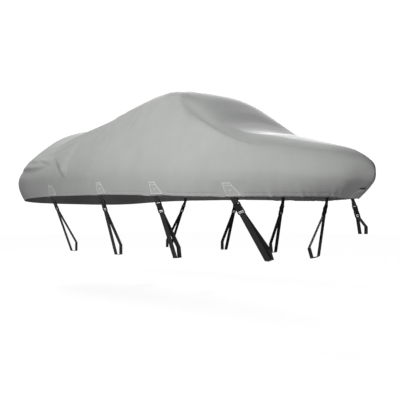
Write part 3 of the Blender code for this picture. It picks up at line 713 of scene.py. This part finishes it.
STEEPER = 0.75
GENTLER = 1.2

# Three-cornered folds: flat, and standing out most at the low corner
FACET_COLUMNS = ("side", "low", "aft", "fore", "depth")
FACETS = (
    ("starboard", (-3.50, 0.305), (-4.04, 0.495), (-3.66, 0.565), 0.055),
    ("port", (-3.60, 0.320), (-4.10, 0.480), (-3.74, 0.550), 0.040),
    ("starboard", (-5.19, 0.330), (-5.215, 0.47), (-5.14, 0.470), 0.030),
)
FACET_EDGE = 0.030


def on_cloth(ribs, spots, side):
    """Points of the cloth, from (rail x, share up the rib) on one side."""
    x, up = np.array(spots).T
    index = np.interp(-x, -hull.at("rail_x", PLACES), np.arange(len(PLACES)))
    row = np.interp(up, SHARES, np.arange(len(SHARES)))
    low, under = index.astype(int), row.astype(int)
    high, over = np.minimum(low + 1, len(PLACES) - 1), np.minimum(under + 1, len(SHARES) - 1)
    a, b = (index - low)[:, None], (row - under)[:, None]
    line = ((1 - a) * ((1 - b) * ribs[low, under] + b * ribs[low, over])
            + a * ((1 - b) * ribs[high, under] + b * ribs[high, over]))
    return line * (1, 1 if side == "starboard" else -1, 1)


def faceted(ring, ribs):
    """How far each three-cornered fold pushes the cloth out."""
    depth = np.zeros(ring.shape[:2])
    for facet in named(FACET_COLUMNS, FACETS):
        corners = [facet[key] for key in ("low", "aft", "fore")]
        low, aft, fore = on_cloth(ribs, corners, facet["side"])
        first, second = aft - low, fore - low
        grid = np.array([[first @ first, first @ second], [first @ second, second @ second]])
        reach = np.linalg.norm(first) + FACET_EDGE
        near = np.nonzero(np.linalg.norm(ring - low, axis=2) < reach)
        rel = ring[near] - low
        shares = np.linalg.solve(grid, np.stack([rel @ first, rel @ second]))
        double_area = np.linalg.norm(np.cross(first, second))
        push = facet["depth"] * np.clip(1 - shares[0] - shares[1], 0, 1)
        for share, edge in zip(shares, (second, first)):
            push *= soft_step(share * double_area / np.linalg.norm(edge),
                              -FACET_EDGE / 2, FACET_EDGE / 2)
        depth[near] += push
    return depth


def creased(ring, normals, ribs):
    """How far each crease pushes the cloth out, or in where its depth is negative."""
    depth = np.zeros(ring.shape[:2])
    bend = np.linspace(0, 1, CREASE_STEPS)[:, None]
    for crease in named(CREASE_COLUMNS, CREASES):
        start, middle, end = (np.array(crease[key]) for key in ("start", "middle", "end"))
        control = 2 * middle - (start + end) / 2
        spots = (1 - bend) ** 2 * start + 2 * bend * (1 - bend) * control + bend * bend * end
        line = on_cloth(ribs, spots, crease["side"])
        reached = distances(line)
        far = CREASE_REACH * crease["width"]
        inside = (ring > line.min(0) - far) & (ring < line.max(0) + far)
        near = np.nonzero(inside.all(axis=2))
        spots, ups = ring[near], normals[near]
        best = np.full(len(spots), np.inf)
        side, share = np.zeros(len(spots)), np.zeros(len(spots))
        for first, second, before, after in zip(line, line[1:], reached, reached[1:]):
            ahead = (second - first) / (after - before)
            rel = spots - first
            run = np.clip(rel @ ahead, 0, after - before)
            gap = rel - run[:, None] * ahead
            away = np.linalg.norm(gap, axis=1)
            closer = away < best
            across = np.einsum("ij,ij->i", np.cross(ahead, ups), gap)
            best = np.where(closer, away, best)
            side = np.where(closer, across / np.maximum(away, 1e-6), side)
            share = np.where(closer, (before + run) / reached[-1], share)
        steep = np.clip(side * crease["lean"], 0, 1)
        gentle = np.clip(-side * crease["lean"], 0, 1)
        wide = crease["width"] * (1 - STEEPER * steep) * (1 + GENTLER * gentle)
        ends = np.sin(math.pi * (CREASE_END + (1 - 2 * CREASE_END) * share))
        depth[near] += crease["depth"] * ends * np.exp(-(best / wide) ** 2)
    return depth


# The elastic in the hem: how the edge puckers between the tie-downs
CASING = 0.033
CASING_PUFF = 0.0005
SEAM_SINK = 0.0018
SEAM_WIDTH = 0.004
PUCKER_OUT = 0.0085
PUCKER_UP = 0.0080
PUCKER_REACH = 0.050
LIFT_REACH = 0.030
PUCKER_WANDER = 0.9
PUCKER_EVENS = 1.5
WANDER_WAVES = 7.3
PUCKER_WAVES = ((0.088, 0.0, 1.0), (0.061, 1.7, 0.45), (0.143, 0.6, 0.55), (0.310, 2.2, 0.40))
TIGHT_FROM = -2.15
TIGHT_BY = -0.85
REAR_SLACK = 0.10


def pucker(sign):
    """The uneven wave that the elastic draws round the hem, about -1 to 1."""
    wave = 0 * FROM_STEM
    for length, phase, size in PUCKER_WAVES:
        turn = 2 * math.pi * FROM_STEM / length
        wander = PUCKER_WANDER * np.sin(turn / WANDER_WAVES + sign * phase)
        wave += size * np.sin(turn + phase * (2 + sign) + wander)
    return wave / PUCKER_EVENS


def hem_gathered(ring, normals):
    """Puffs the casing, sinks its seam, and puckers the edge between the straps."""
    sign = np.where(np.arange(len(FROM_STEM)) < len(PLACES), 1.0, -1.0)
    rail_x = hull.at("rail_x", FROM_STEM)
    tight = REAR_SLACK + (1 - REAR_SLACK) * soft_step(rail_x, TIGHT_FROM, TIGHT_BY)
    loose = np.ones(len(FROM_STEM))
    for middle in PANEL_PLACES + [0.0]:
        away = np.abs(FROM_STEM - middle)
        tight *= soft_step(away, PANEL_HALF - 0.005, PANEL_HALF + 0.05)
        loose *= soft_step(away, PANEL_HALF - 0.005, PANEL_HALF + 0.03)
    wave = pucker(sign)
    rows = RAIL_ROW + 1
    height = ring[:, :rows, 2] - ring[:, :1, 2]
    puff = CASING_PUFF * np.sin(math.pi * np.clip(height / CASING, 0, 1))
    seam = -SEAM_SINK * np.exp(-((height - CASING) / SEAM_WIDTH) ** 2)
    rise = np.exp(-(height / PUCKER_REACH) ** 1.3)
    out = (puff + seam) * loose[:, None] + (PUCKER_OUT * tight * wave)[:, None] * rise
    result = ring.copy()
    result[:, :rows] += out[..., None] * normals[:, :rows]
    lift = PUCKER_UP * tight * (0.45 + 0.55 * np.sin(1.9 * wave + 0.4))
    result[:, :rows, 2] += lift[:, None] * np.exp(-height / LIFT_REACH)
    return result


def cover_faces(count, rows):
    """Quads round and up the ring, closed along the spine."""
    def point(rib, row):
        rib %= count
        if row == rows - 1:
            return count * (rows - 1) + min(rib, count - rib)
        return rib * (rows - 1) + row

    faces = []
    for rib in range(count):
        for row in range(rows - 1):
            corners = [point(rib, row), point(rib, row + 1), point(rib + 1, row + 1),
                       point(rib + 1, row)]
            faces.append(tuple(dict.fromkeys(corners)))
    return faces


SEAM_ROW = SKIRT_HEIGHTS.index(CASING)
# Shares of the rib between which the cloth's threads turn from along the rail to lengthwise
UV_BLEND = (0.42, 0.80)


def make_cover():
    """The one-piece cover, and the whole ring of its points."""
    ribs = panels_flattened(hull.ribs(PLACES))
    ring = np.concatenate([ribs, ribs[-2:0:-1] * (1, -1, 1)])
    normals = outward_normals(ring)
    depth = creased(ring, normals, ribs) + faceted(ring, ribs)
    ring = hem_gathered(ring + depth[..., None] * normals, normals)
    count, rows = ring.shape[:2]
    half = count // 2
    spine = (ring[:half + 1, -1] + ring[-np.arange(half + 1) % count, -1]) / 2
    spine[:, 1] = 0.0
    points = np.concatenate([ring[:, :-1].reshape(-1, 3), spine])
    up = np.linalg.norm(np.diff(ring, axis=1), axis=2)
    height = np.concatenate([np.zeros((count, 1)), np.cumsum(up, axis=1)], axis=1)
    blend = soft_step(SHARES, *UV_BLEND)
    across = (1 - blend) * ROUND_IT[:, None] - blend * ring[..., 0]
    uvs = pair(across, height)
    uvs = np.concatenate([uvs[:, :-1].reshape(-1, 2), uvs[:half + 1, -1]])
    cover = piece("canvas_cover", points, cover_faces(count, rows), CANVAS, "canvas_grey", uvs)
    thickened(cover, CLOTH)
    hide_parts("cover_shell")
    return cover, ring


cover, ring = make_cover()

# ---------------------------------------------------------------- tie-downs


class Station:
    """A tie-down: the flat panel of the skirt that carries it, and the line of its strap."""

    def __init__(self, middle, ahead, facing, foot, tied_to, mirror=(1, 1, 1), set_back=0.0):
        rib = hull.ribs(middle)[0] * mirror
        self.hem, top = Vector(rib[0]), Vector(rib[SKIRT_TOP_ROW])
        self.ahead, self.facing, self.foot = Vector(ahead), Vector(facing), Vector(foot)
        self.tied_to = tied_to
        self.up_panel = (top - self.hem).normalized()
        self.outward = self.up_panel.cross(self.ahead).normalized()
        if self.outward.dot(self.facing) < 0:
            self.outward.negate()
        inside = CLOTH + GAP + WEBBING / 2
        self.start = self.hem - inside * self.outward - set_back * self.facing
        self.down = (self.foot - self.start).normalized()
        self.across = self.outward.cross(self.down).normalized()
        self.face = self.down.cross(self.across).normalized()
        if self.face.dot(self.outward) < 0:
            self.face.negate()
            self.across.negate()

    def at(self, across, out, down):
        """A point in the strap's own frame, from where it leaves the hem."""
        return self.start + across * self.across + out * self.face + down * self.down

    def flat(self, direction):
        """A direction's part in the strap's (out, down) plane."""
        return direction.dot(self.face), direction.dot(self.down)


def tie_downs():
    """Every tie-down by name: four a side, and the bow's."""
    found = {}
    for number, strap in enumerate(named(STRAP_COLUMNS, STRAPS), 1):
        middle = hull.along_at(strap["at_x"])
        ahead = hull.rail_heading(middle)
        foot = np.array([strap["foot_x"], -strap["foot_out"], BEAM_BOTTOM])
        beam = (strap["beam"] / 2, BEAM_TOP, BEAM_BOTTOM)
        for side, sign in (("starboard", 1), ("port", -1)):
            mirror = (1, sign, 1)
            found[f"{side}_{number}"] = Station(middle, ahead * mirror, (0, -sign, 0),
                                                foot * mirror, beam, mirror)
    post = (POST_WIDTH / 2, POST_HIGH, POST_LOW)
    found["bow"] = Station(0.0, (0, 1, 0), (1, 0, 0), BOW_FOOT, post, set_back=BOW_SET_BACK)
    return found


def arc(centre, radius, start, end, steps):
    """Points on an arc in the (out, down) plane; degrees, 0 is outward and 90 is down."""
    angles = np.radians(np.linspace(start, end, steps + 1))
    return [(centre[0] + radius * math.cos(a), centre[1] + radius * math.sin(a)) for a in angles]


def taut_band(points):
    """The closed line that a band pulled tight round the points would take."""
    def half(row):
        line = []
        for p in row:
            while len(line) > 1 and ((line[-1][0] - line[-2][0]) * (p[1] - line[-2][1])
                                     <= (line[-1][1] - line[-2][1]) * (p[0] - line[-2][0])):
                line.pop()
            line.append(p)
        return line[:-1]

    row = sorted(set((round(float(x), 7), round(float(y), 7)) for x, y in points))
    return half(row) + half(row[::-1])


def tab_path(station):
    """From inside the hem down to the buckle's bar, round it and back up."""
    path = [station.flat(station.up_panel * TAB_UNDER), (0.0, 0.0), (0.0, TAB_BEND),
            (WRAP, TAB_LENGTH - TAB_MEETS)]
    for side, turn in ((1, 0), (-1, 90)):
        path += arc((side * BAR / 2, TAB_LENGTH + BAR / 2), ON_BAR, turn, turn + 90, 6)
    return path + [(-WRAP, TAB_LENGTH - TAB_MEETS), (-WEBBING - GAP, TAB_LENGTH - TAB_ENDS)]


def loop_path(station, bar_down):
    """A band round the plug's lower bar and round the corners of what it is tied to."""
    half_width, high, low = station.tied_to
    points = []
    for sign in (-1, 1):
        for side, turn in ((-1, 180), (1, 0)):
            points += arc((sign * BAR / 2, bar_down + side * BAR / 2), ON_BAR, turn,
                          turn + 180, 12)
        for height in (low, high):
            slide = (height - station.start.z) / station.down.z
            corner = station.start + slide * station.down
            astray = (corner - station.foot).dot(station.facing)
            corner += (sign * half_width - astray) * station.facing - station.start
            points += arc(station.flat(corner), BEAM_CORNER, 0, 345, 23)
    band = taut_band(points)
    top = min(range(len(band)), key=lambda k: band[k][1])
    return band[top:] + band[:top]


# Across the webbing: share of its half width, and share of its half thickness there
WEB_SECTION = ((-1.0, 0.15), (-0.992, 0.60), (-0.97, 0.90), (-0.93, 1.0), (-0.90, 0.82),
               (-0.45, 0.95), (0.0, 0.88), (0.45, 0.95), (0.90, 0.82), (0.93, 1.0),
               (0.97, 0.90), (0.992, 0.60), (1.0, 0.15))
WEB_STEP = 0.022
WEB_FACE = 0.88


def divided(path, closed):
    """The path with its long straight stretches divided."""
    fine = []
    for first, second in zip(path, path[1:] + path[:1] if closed else path[1:]):
        count = max(1, math.ceil(math.dist(first, second) / WEB_STEP))
        steps = np.arange(count)[:, None] / count
        fine += list(np.array(first) + steps * np.subtract(second, first))
    return np.array(fine if closed else fine + [path[-1]], float)


def webbing(name, replaced, station, path, closed):
    """A strip of webbing with bound edges along a path in the (out, down) plane."""
    path = divided(path, closed)
    ahead = np.roll(path, -1, axis=0) - path
    if not closed:
        ahead[-1] = ahead[-2]
    ahead = unit(ahead)
    behind = np.roll(ahead, 1, axis=0)
    if not closed:
        behind[0] = ahead[0]
    aside = pair(-ahead[:, 1], ahead[:, 0])
    normal = unit(aside + pair(-behind[:, 1], behind[:, 0]))
    push = normal * (WEBBING / 2 / np.maximum((normal * aside).sum(1), 0.5))[:, None]
    outline = [(across * WEBBING_WIDTH / 2, sign * fat)
               for sign in (1, -1) for across, fat in WEB_SECTION[::sign]]
    points, uvs = [], []
    for middle, offset, run in zip(path, push, distances(path)):
        for across, fat in outline:
            points.append(station.at(across, *(float(v) for v in middle + fat * offset)))
            uvs.append((across, run))
    faces = facing_out(points, ring_faces(len(path), len(outline), closed))
    made = piece(name, points, faces, BLACK_WEB, "black_webbing", uvs)
    made.data.set_sharp_from_angle(angle=math.radians(SHARP))
    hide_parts(replaced)


# ---------------------------------------------------------------- patches

PATCH_COLUMNS_ACROSS = 16
PATCH_ROWS_UP = 14
SEAM_INSET = 0.0075
SEAM_APART = 0.0062
SEAM_STEPS = 12
PATCH_PUFF = 0.0006
THREAD = dict(length=0.0085, gap=0.0022, width=0.0042, high=0.0014)
TACK_RISE = 0.43
TACK_SIZE = 0.016
TACK_LEAN = 0.05
TOP_SEAM_RISE = 0.76


def patch_sheet(name, replaced, spot, finish, slot, thick, size, outward):
    """A sewn-on piece from spot(across share, rise share, height off the panel)."""
    points, uvs, faces = [], [], []
    columns, rows = PATCH_COLUMNS_ACROSS, PATCH_ROWS_UP
    for row in range(rows + 1):
        for column in range(columns + 1):
            s, r = 2 * column / columns - 1, row / rows
            from_edge = min(1 - abs(s), 2 * r, 2 - 2 * r)
            puff = PATCH_PUFF * math.sin(math.pi * min(1.0, 2.5 * from_edge)) ** 2
            points.append(spot(s, r, GAP + thick + puff))
            uvs.append((s * size[0] / 2, r * size[1]))
            if row and column:
                k = len(points) - 1
                faces.append((k - columns - 2, k - columns - 1, k, k - 1))
    a, b, c = (Vector(points[k]) for k in (0, 1, columns + 2))
    if (b - a).cross(c - a).dot(outward) < 0:
        faces = [face[::-1] for face in faces]
    made = piece(name, points, faces, finish, slot, uvs)
    thickened(made, thick)
    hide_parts(replaced)
    return made


def seam_lines(height, tacked):
    """The patch's seams in (across share, rise share): its outline twice, and its top."""
    def half(rise):
        return (PATCH_BOTTOM + (PATCH_TOP - PATCH_BOTTOM) * rise) / 2

    lines = []
    for inset in (SEAM_INSET, SEAM_INSET + SEAM_APART):
        rise = inset / height
        low, high = 1 - inset / half(rise), 1 - inset / half(1 - rise)
        corners = [(-low, rise), (low, rise), (high, 1 - rise), (-high, 1 - rise)]
        lines += zip(corners, corners[1:] + corners[:1])
    side = 1 - SEAM_INSET / half(TOP_SEAM_RISE)
    lines.append([(-side, TOP_SEAM_RISE), (side, TOP_SEAM_RISE)])
    for shift in (-0.3, 0.0, 0.3) if tacked else ():
        across = shift * TACK_SIZE / half(TACK_RISE)
        reach = TACK_SIZE / 2 / height
        lines.append([(across - TACK_LEAN, TACK_RISE - reach),
                      (across + TACK_LEAN, TACK_RISE + reach)])
    return lines


def sewn(name, lines, spot):
    """White stitches along lines given in the patch's own shares."""
    parts = []
    for first, second in lines:
        path, ups = [], []
        for k in range(SEAM_STEPS + 1):
            s, r = (a + k / SEAM_STEPS * (b - a) for a, b in zip(first, second))
            path.append(spot(s, r, GAP + PATCH_THICK))
            ups.append(spot(s, r, GAP + PATCH_THICK + 0.01) - path[-1])
        parts.append(stitches(path, ups, **THREAD))
    return piece(name, *joined(parts), PATCH_THREAD, "patch_grey")


def patch(where, spot, outward, height, held):
    """A tapered patch with its seams, sewn to the cover."""
    cloth = patch_sheet(f"patch_cloth_{where}", f"patch_{where}", spot, PATCH_CANVAS,
                        "patch_grey", PATCH_THICK, (PATCH_BOTTOM, height), outward)
    seams = sewn(f"patch_seams_{where}", seam_lines(height, held == "laid"), spot)


def side_patch(where, station):
    """The patch on a side panel, its top swept towards the stern."""
    slant = station.up_panel - PATCH_SWEEP * station.ahead
    base = station.hem + PATCH_ABOVE_HEM * station.up_panel + PATCH_SHIFT * station.ahead

    def spot(s, r, depth):
        half = (PATCH_BOTTOM + (PATCH_TOP - PATCH_BOTTOM) * r) / 2
        return (base + r * PATCH_HEIGHT * slant + s * half * station.ahead
                + depth * station.outward)

    patch(where, spot, station.outward, PATCH_HEIGHT, "laid")


def bow_patch(where, station):
    """The patch folded over the stem, and the black band above it."""
    run_back = Vector(BOW_PANEL).normalized()
    outward = station.up_panel.cross(run_back).normalized()
    if outward.x < 0:
        outward.negate()
    ridge = Vector((outward.x, 0.0, outward.z)).normalized()

    def folded(low, height, bottom, top):
        def spot(s, r, depth):
            back = abs(s) * (bottom + (top - bottom) * r) / 2
            eased = math.sqrt(back * back + FOLD * FOLD) - FOLD
            middle = station.hem + (low + r * height) * station.up_panel
            flat = middle + eased * run_back + depth * outward
            crest = middle + depth / ridge.dot(outward) * ridge
            near = math.exp(-(back / FOLD) ** 2)
            point = (1 - near) * flat + near * crest
            return Vector((point.x, point.y if s > 0 else -point.y, point.z))
        return spot

    forward = Vector((1, 0, 0))
    spot = folded(PATCH_ABOVE_HEM, BOW_PATCH_HEIGHT, PATCH_BOTTOM, PATCH_TOP)
    patch(where, spot, forward, BOW_PATCH_HEIGHT, "folded")
    spot = folded(PATCH_ABOVE_HEM + BOW_PATCH_HEIGHT + GAP, BOW_BAND_HEIGHT, BOW_BAND_WIDTH,
                  BOW_BAND_WIDTH)
    patch_sheet("bow_band_webbing", "bow_band", spot, BLACK_WEB, "black_webbing", WEBBING,
                (BOW_BAND_WIDTH, BOW_BAND_HEIGHT), forward)


# ---------------------------------------------------------------- buckles


def softened(made, width, segments, angle):
    """Rounds the edges that are sharper than an angle."""
    edge = made.modifiers.new("soft edges", "BEVEL")
    edge.width = width
    edge.segments = segments
    edge.limit_method = "ANGLE"
    edge.angle_limit = math.radians(angle)


def slab(outline, low, high, bevel=0.0, segments=3):
    """A closed outline in (across, up), given thickness from low to high, with soft edges."""
    points = [(x, y, z) for y in (low, high) for x, z in outline]
    mesh = bpy.data.meshes.new("slab")
    mesh.from_pydata(points, [], facing_out(points, ring_faces(2, len(outline))))
    made = placed("slab", mesh)
    if bevel:
        softened(made, bevel, segments, 40)
    return made


def cut(outline, low=-BUCKLE_THICK, high=BUCKLE_THICK):
    """A step that takes an outline's slab away; it goes right through if nothing is said."""
    return "DIFFERENCE", slab(outline, low, high)


def oblong(half_across, low, high, corner=0.0):
    """A rectangle's outline with rounded corners."""
    side, outline = half_across - corner, []
    for x, z, start in ((side, low + corner, -90), (side, high - corner, 0),
                        (-side, high - corner, 90), (-side, low + corner, 180)):
        for angle in np.radians(np.linspace(start, start + 90, 5 if corner else 1)):
            outline.append((x + corner * math.cos(angle), z + corner * math.sin(angle)))
    return outline


def from_side(base, *places):
    """Points by how far they lie in from the buckle's side and up from a base."""
    return [(HALF - inward, base + up) for inward, up in places]


def turned_over(outline, sign=-1):
    return [(sign * x, z) for x, z in outline]


def carved(name, body, steps):
    """A body after its cuts and joins, with its new edges softened."""
    for operation, cutter in steps:
        change = body.modifiers.new(operation, "BOOLEAN")
        change.operation = operation
        change.object = cutter
    softened(body, CUT_EDGE, 2, SHARP)
    graph = bpy.context.evaluated_depsgraph_get()
    mesh = bpy.data.meshes.new_from_object(body.evaluated_get(graph))
    mesh.name = name
    for spare in [body] + [cutter for _, cutter in steps]:
        bpy.data.objects.remove(spare, do_unlink=True)
    mesh.shade_smooth()
    mesh.set_sharp_from_angle(angle=math.radians(35))
    mesh.materials.clear()
    mesh.materials.append(MOULDED)
    return mesh


def bar_cuts(slot_low, slot_high, low, high):
    """The slot beside a bar, and what thins the bar front and back where webbing wraps it."""
    bar = oblong(SLOT_WIDTH / 2, low, high, 0.002)
    return [cut(oblong(SLOT_WIDTH / 2, slot_low, slot_high, 0.0015)),
            cut(bar, BAR / 2), cut(bar, high=-BAR / 2)]


def grooves(half_across, places, corner, deep):
    """Shallow grips across the front."""
    return [cut(oblong(half_across, low, high, corner), THICK - deep, THICK + 0.001)
            for low, high in places]


def socket_form():
    """The upper half: its bar, a waisted hollow body, and windows for the catches."""
    right = from_side(SOCKET_BOTTOM, (0.002, 0), (0, 0.003), (0, 0.009), (0.0030, 0.014),
                      (0.0038, 0.021), (0.0030, 0.029), (0.0005, 0.036), (0, 0.042))
    right += from_side(SOCKET_TOP, (0, -0.004), (0.0012, -0.0012), (0.004, 0))
    body = slab(right + turned_over(right[::-1]), -THICK, THICK, BUCKLE_EDGE)
    steps = bar_cuts(BODY_TOP, -BAR / 2, BODY_TOP, SOCKET_TOP + 0.004)
    inner, window = THICK - 0.0022, THICK - 0.0040
    steps.append(cut(oblong(HALF - 0.0042, SOCKET_BOTTOM - 0.003, BODY_TOP - 0.003),
                     -inner, inner))
    steps.append(cut(oblong(2 * HALF, SOCKET_BOTTOM + 0.012, SOCKET_BOTTOM + 0.030, 0.004),
                     -window, window))
    scoop = from_side(SOCKET_BOTTOM, (0.002, 0.011), (-0.004, 0.011), (-0.004, 0.031),
                      (0.002, 0.031), (0.0115, 0.026), (0.0135, 0.021), (0.0115, 0.016))
    for sign in (-1, 1):
        steps += [cut(turned_over(scoop, sign), inner), cut(turned_over(scoop, sign), high=-inner)]
    rises = [(SOCKET_BOTTOM + rise, SOCKET_BOTTOM + rise + 0.0014) for rise in (0.0040, 0.0075)]
    return carved("buckle_socket", body, steps + grooves(0.020, rises, 0.0006, 0.0007))


def plug_form():
    """The lower half: a bar for the band, a ribbed base, two catches and a guide."""
    right = from_side(PLUG_BOTTOM, (0.004, 0), (0.0012, 0.0012), (0, 0.004))
    right += from_side(PLUG_TOP, (0, -0.005), (0.0008, -0.001), (0.002, 0))
    base = slab(right + turned_over(right[::-1]), -THICK, THICK, BUCKLE_EDGE)
    slot_top = PLUG_BOTTOM + BAR + SLOT_HEIGHT
    steps = bar_cuts(PLUG_BOTTOM + BAR, slot_top, PLUG_BOTTOM - 0.004, slot_top)
    steps.append(cut(oblong(SLOT_WIDTH / 2, PLUG_BOTTOM + ADJUSTER_LOW,
                            PLUG_BOTTOM + ADJUSTER_HIGH, 0.0015)))
    flat = THICK - 0.0030
    catch = from_side(PLUG_TOP, (0.0158, -0.003), (0.0078, -0.003), (0.0068, 0.012),
                      (0.0022, 0.0135), (0.0010, 0.018), (0.0014, 0.024), (0.0052, 0.0285),
                      (0.0098, 0.034), (0.0138, 0.034), (0.0133, 0.020))
    for sign in (-1, 1):
        steps.append(("UNION", slab(turned_over(catch, sign), -flat, flat, 0.0006, 1)))
    guide = oblong(0.0035, PLUG_TOP - 0.003, PLUG_TOP + 0.028, 0.0015)
    steps.append(("UNION", slab(guide, -flat, flat)))
    rises = [(PLUG_TOP - rise - 0.0012, PLUG_TOP - rise) for rise in (0.0030, 0.0062, 0.0094)]
    return carved("buckle_plug", base, steps + grooves(0.024, rises, 0.0005, 0.0006))


def hang_buckle(name, replaced, mesh, station):
    """One half of a buckle in the strap's frame, its top bar in the tab's eye."""
    half = placed(name, mesh)
    across, out, up = station.across, station.face, -station.down
    if across.cross(out).dot(up) < 0:
        across = -across
    turn = Matrix((across, out, up)).transposed().to_4x4()
    half.matrix_world = Matrix.Translation(station.at(0, 0, TAB_LENGTH) - HELD_AT) @ turn
    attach(half, "root")
    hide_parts(replaced)


# ---------------------------------------------------------------- seams of hem and tabs

HEM_THREAD_SIZES = dict(length=0.0070, gap=0.0022, width=0.0017, high=0.0009)
SEAM_CLEARS_PATCH = 0.110
TAB_SEAMS_DOWN = (0.0415, 0.0445, 0.0500)
TAB_SEAM_HALF = 0.024
WEB_THREAD_SIZES = dict(length=0.0042, gap=0.0008, width=0.0014, high=0.0008)


def hem_stitching():
    """The seam that closes the hem's casing, in stretches between the patches."""
    whole = 2 * hull.length
    stops = sorted([0.0, whole] + PANEL_PLACES + [whole - p for p in PANEL_PLACES])
    line, ups = ring[:, SEAM_ROW], outward_normals(ring)[:, SEAM_ROW]
    parts = []
    for low, high in zip(stops, stops[1:]):
        inside = (ROUND_IT > low + SEAM_CLEARS_PATCH) & (ROUND_IT < high - SEAM_CLEARS_PATCH)
        parts.append(stitches(line[inside], ups[inside], **HEM_THREAD_SIZES))
    return piece("hem_stitching", *joined(parts), HEM_THREAD, "canvas_grey")


def tab_stitching(where, station):
    """Rows of thread across the tab, where it is sewn to itself above the buckle."""
    parts = []
    lean = WRAP / (TAB_LENGTH - TAB_MEETS - TAB_BEND)
    for down in TAB_SEAMS_DOWN:
        out = lean * (down - TAB_BEND) + WEB_FACE * WEBBING / 2
        ends = [station.at(side * TAB_SEAM_HALF, out, down) for side in (-1, 1)]
        parts.append(stitches(ends, [station.face] * 2, **WEB_THREAD_SIZES))
    piece(f"tab_stitching_{where}", *joined(parts), WEB_THREAD, "black_webbing")


def make_tie_downs():
    socket, plug = socket_form(), plug_form()
    lower_bar = TAB_LENGTH - BAR + SOCKET_LENGTH + GAP + PLUG_BASE
    for where, station in tie_downs().items():
        (bow_patch if where == "bow" else side_patch)(where, station)
        webbing(f"tab_webbing_{where}", f"tab_{where}", station, tab_path(station), False)
        tab_stitching(where, station)
        hang_buckle(f"buckle_socket_{where}", f"socket_{where}", socket, station)
        hang_buckle(f"buckle_plug_{where}", f"plug_{where}", plug, station)
        webbing(f"band_webbing_{where}", f"strap_{where}", station,
                loop_path(station, lower_bar), True)


make_tie_downs()
seam = hem_stitching()

# ---------------------------------------------------------------- studio

FLOOR_HALF = 30.0
FLOOR_PALE = 0.80
FLOOR_SHADED = 0.25
FLOOR_DIM = 0.26
WORLD_FILL = 0.10
WORLD_WHITE = 1.05
SOFT_BOX_COLUMNS = ("name", "stands_at", "aimed_at", "power", "width")
SOFT_BOXES = (
    ("soft box to starboard", (-0.2, -5.3, 3.8), (-1.5, -0.6, 1.5), 280, 1.8),
    ("soft box over the stern", (-5.1, -0.9, 4.6), (-4.9, -0.5, 1.7), 62, 1.4),
    ("low soft box off the bow", (1.2, -1.1, 0.15), (-0.15, -0.1, 1.1), 5.5, 0.8),
)
SUN_SHINES = (0.58, -0.64, -0.46)
SUN_STRENGTH = 4.3
SUN_WIDTH = 25


def grey(level):
    return level, level, level, 1


def seen_apart(tree, output, lit, seen):
    """One shader for light to meet, and another for the camera to see."""
    ray = node(tree, "LightPath", {}, "Is Camera Ray")
    choose = node(tree, "MixShader", {0: ray, 1: lit, 2: seen})
    choose.into(tree.nodes.new(output).inputs["Surface"])


def make_floor():
    """A pale floor that stays pale under the cover and throws little light back up."""
    mesh = bpy.data.meshes.new("floor")
    corners = [(x * FLOOR_HALF, y * FLOOR_HALF, -HELD_AT.z)
               for x, y in ((-1, -1), (1, -1), (1, 1), (-1, 1))]
    mesh.from_pydata(corners, [], [(0, 1, 2, 3)])
    paint = bpy.data.materials.new("pale floor")
    paint.use_nodes = True
    tree = paint.node_tree
    tree.nodes.clear()
    dim = node(tree, "BsdfDiffuse", {"Color": grey(FLOOR_DIM)})
    lit = node(tree, "BsdfDiffuse", {"Color": grey(FLOOR_SHADED)})
    pale = node(tree, "Emission", {"Color": grey(1), "Strength": FLOOR_PALE})
    seen = node(tree, "AddShader", {0: lit, 1: pale})
    seen_apart(tree, "ShaderNodeOutputMaterial", dim, seen)
    mesh.materials.append(paint)
    placed("floor", mesh)


def make_light(name, kind, energy, shines, **settings):
    """A lamp turned to shine in a direction."""
    lamp = bpy.data.lights.new(name, kind)
    lamp.energy = energy
    for label, value in settings.items():
        setattr(lamp, label, value)
    made = placed(name, lamp)
    made.rotation_mode = "QUATERNION"
    made.rotation_quaternion = Vector(shines).to_track_quat("-Z", "Y")
    return made


def make_soft_box(name, stands_at, aimed_at, power, width):
    """A square lamp near enough that its light fades along the object."""
    stands_at = Vector(stands_at)
    made = make_light(name, "AREA", power, Vector(aimed_at) - stands_at, size=width)
    made.location = stands_at - HELD_AT
    made.visible_camera = False


def make_world():
    """White to look at, and a weak even fill."""
    world = bpy.data.worlds.new("studio")
    bpy.context.scene.world = world
    world.use_nodes = True
    tree = world.node_tree
    tree.nodes.clear()
    fill, white = (node(tree, "Background", {"Color": grey(1), "Strength": strength})
                   for strength in (WORLD_FILL, WORLD_WHITE))
    seen_apart(tree, "ShaderNodeOutputWorld", fill, white)


make_floor()
make_light("lamp behind to port", "SUN", SUN_STRENGTH, SUN_SHINES, angle=math.radians(SUN_WIDTH))
for soft_box in named(SOFT_BOX_COLUMNS, SOFT_BOXES):
    make_soft_box(**soft_box)
make_world()
bpy.context.scene.view_settings.view_transform = "Standard"
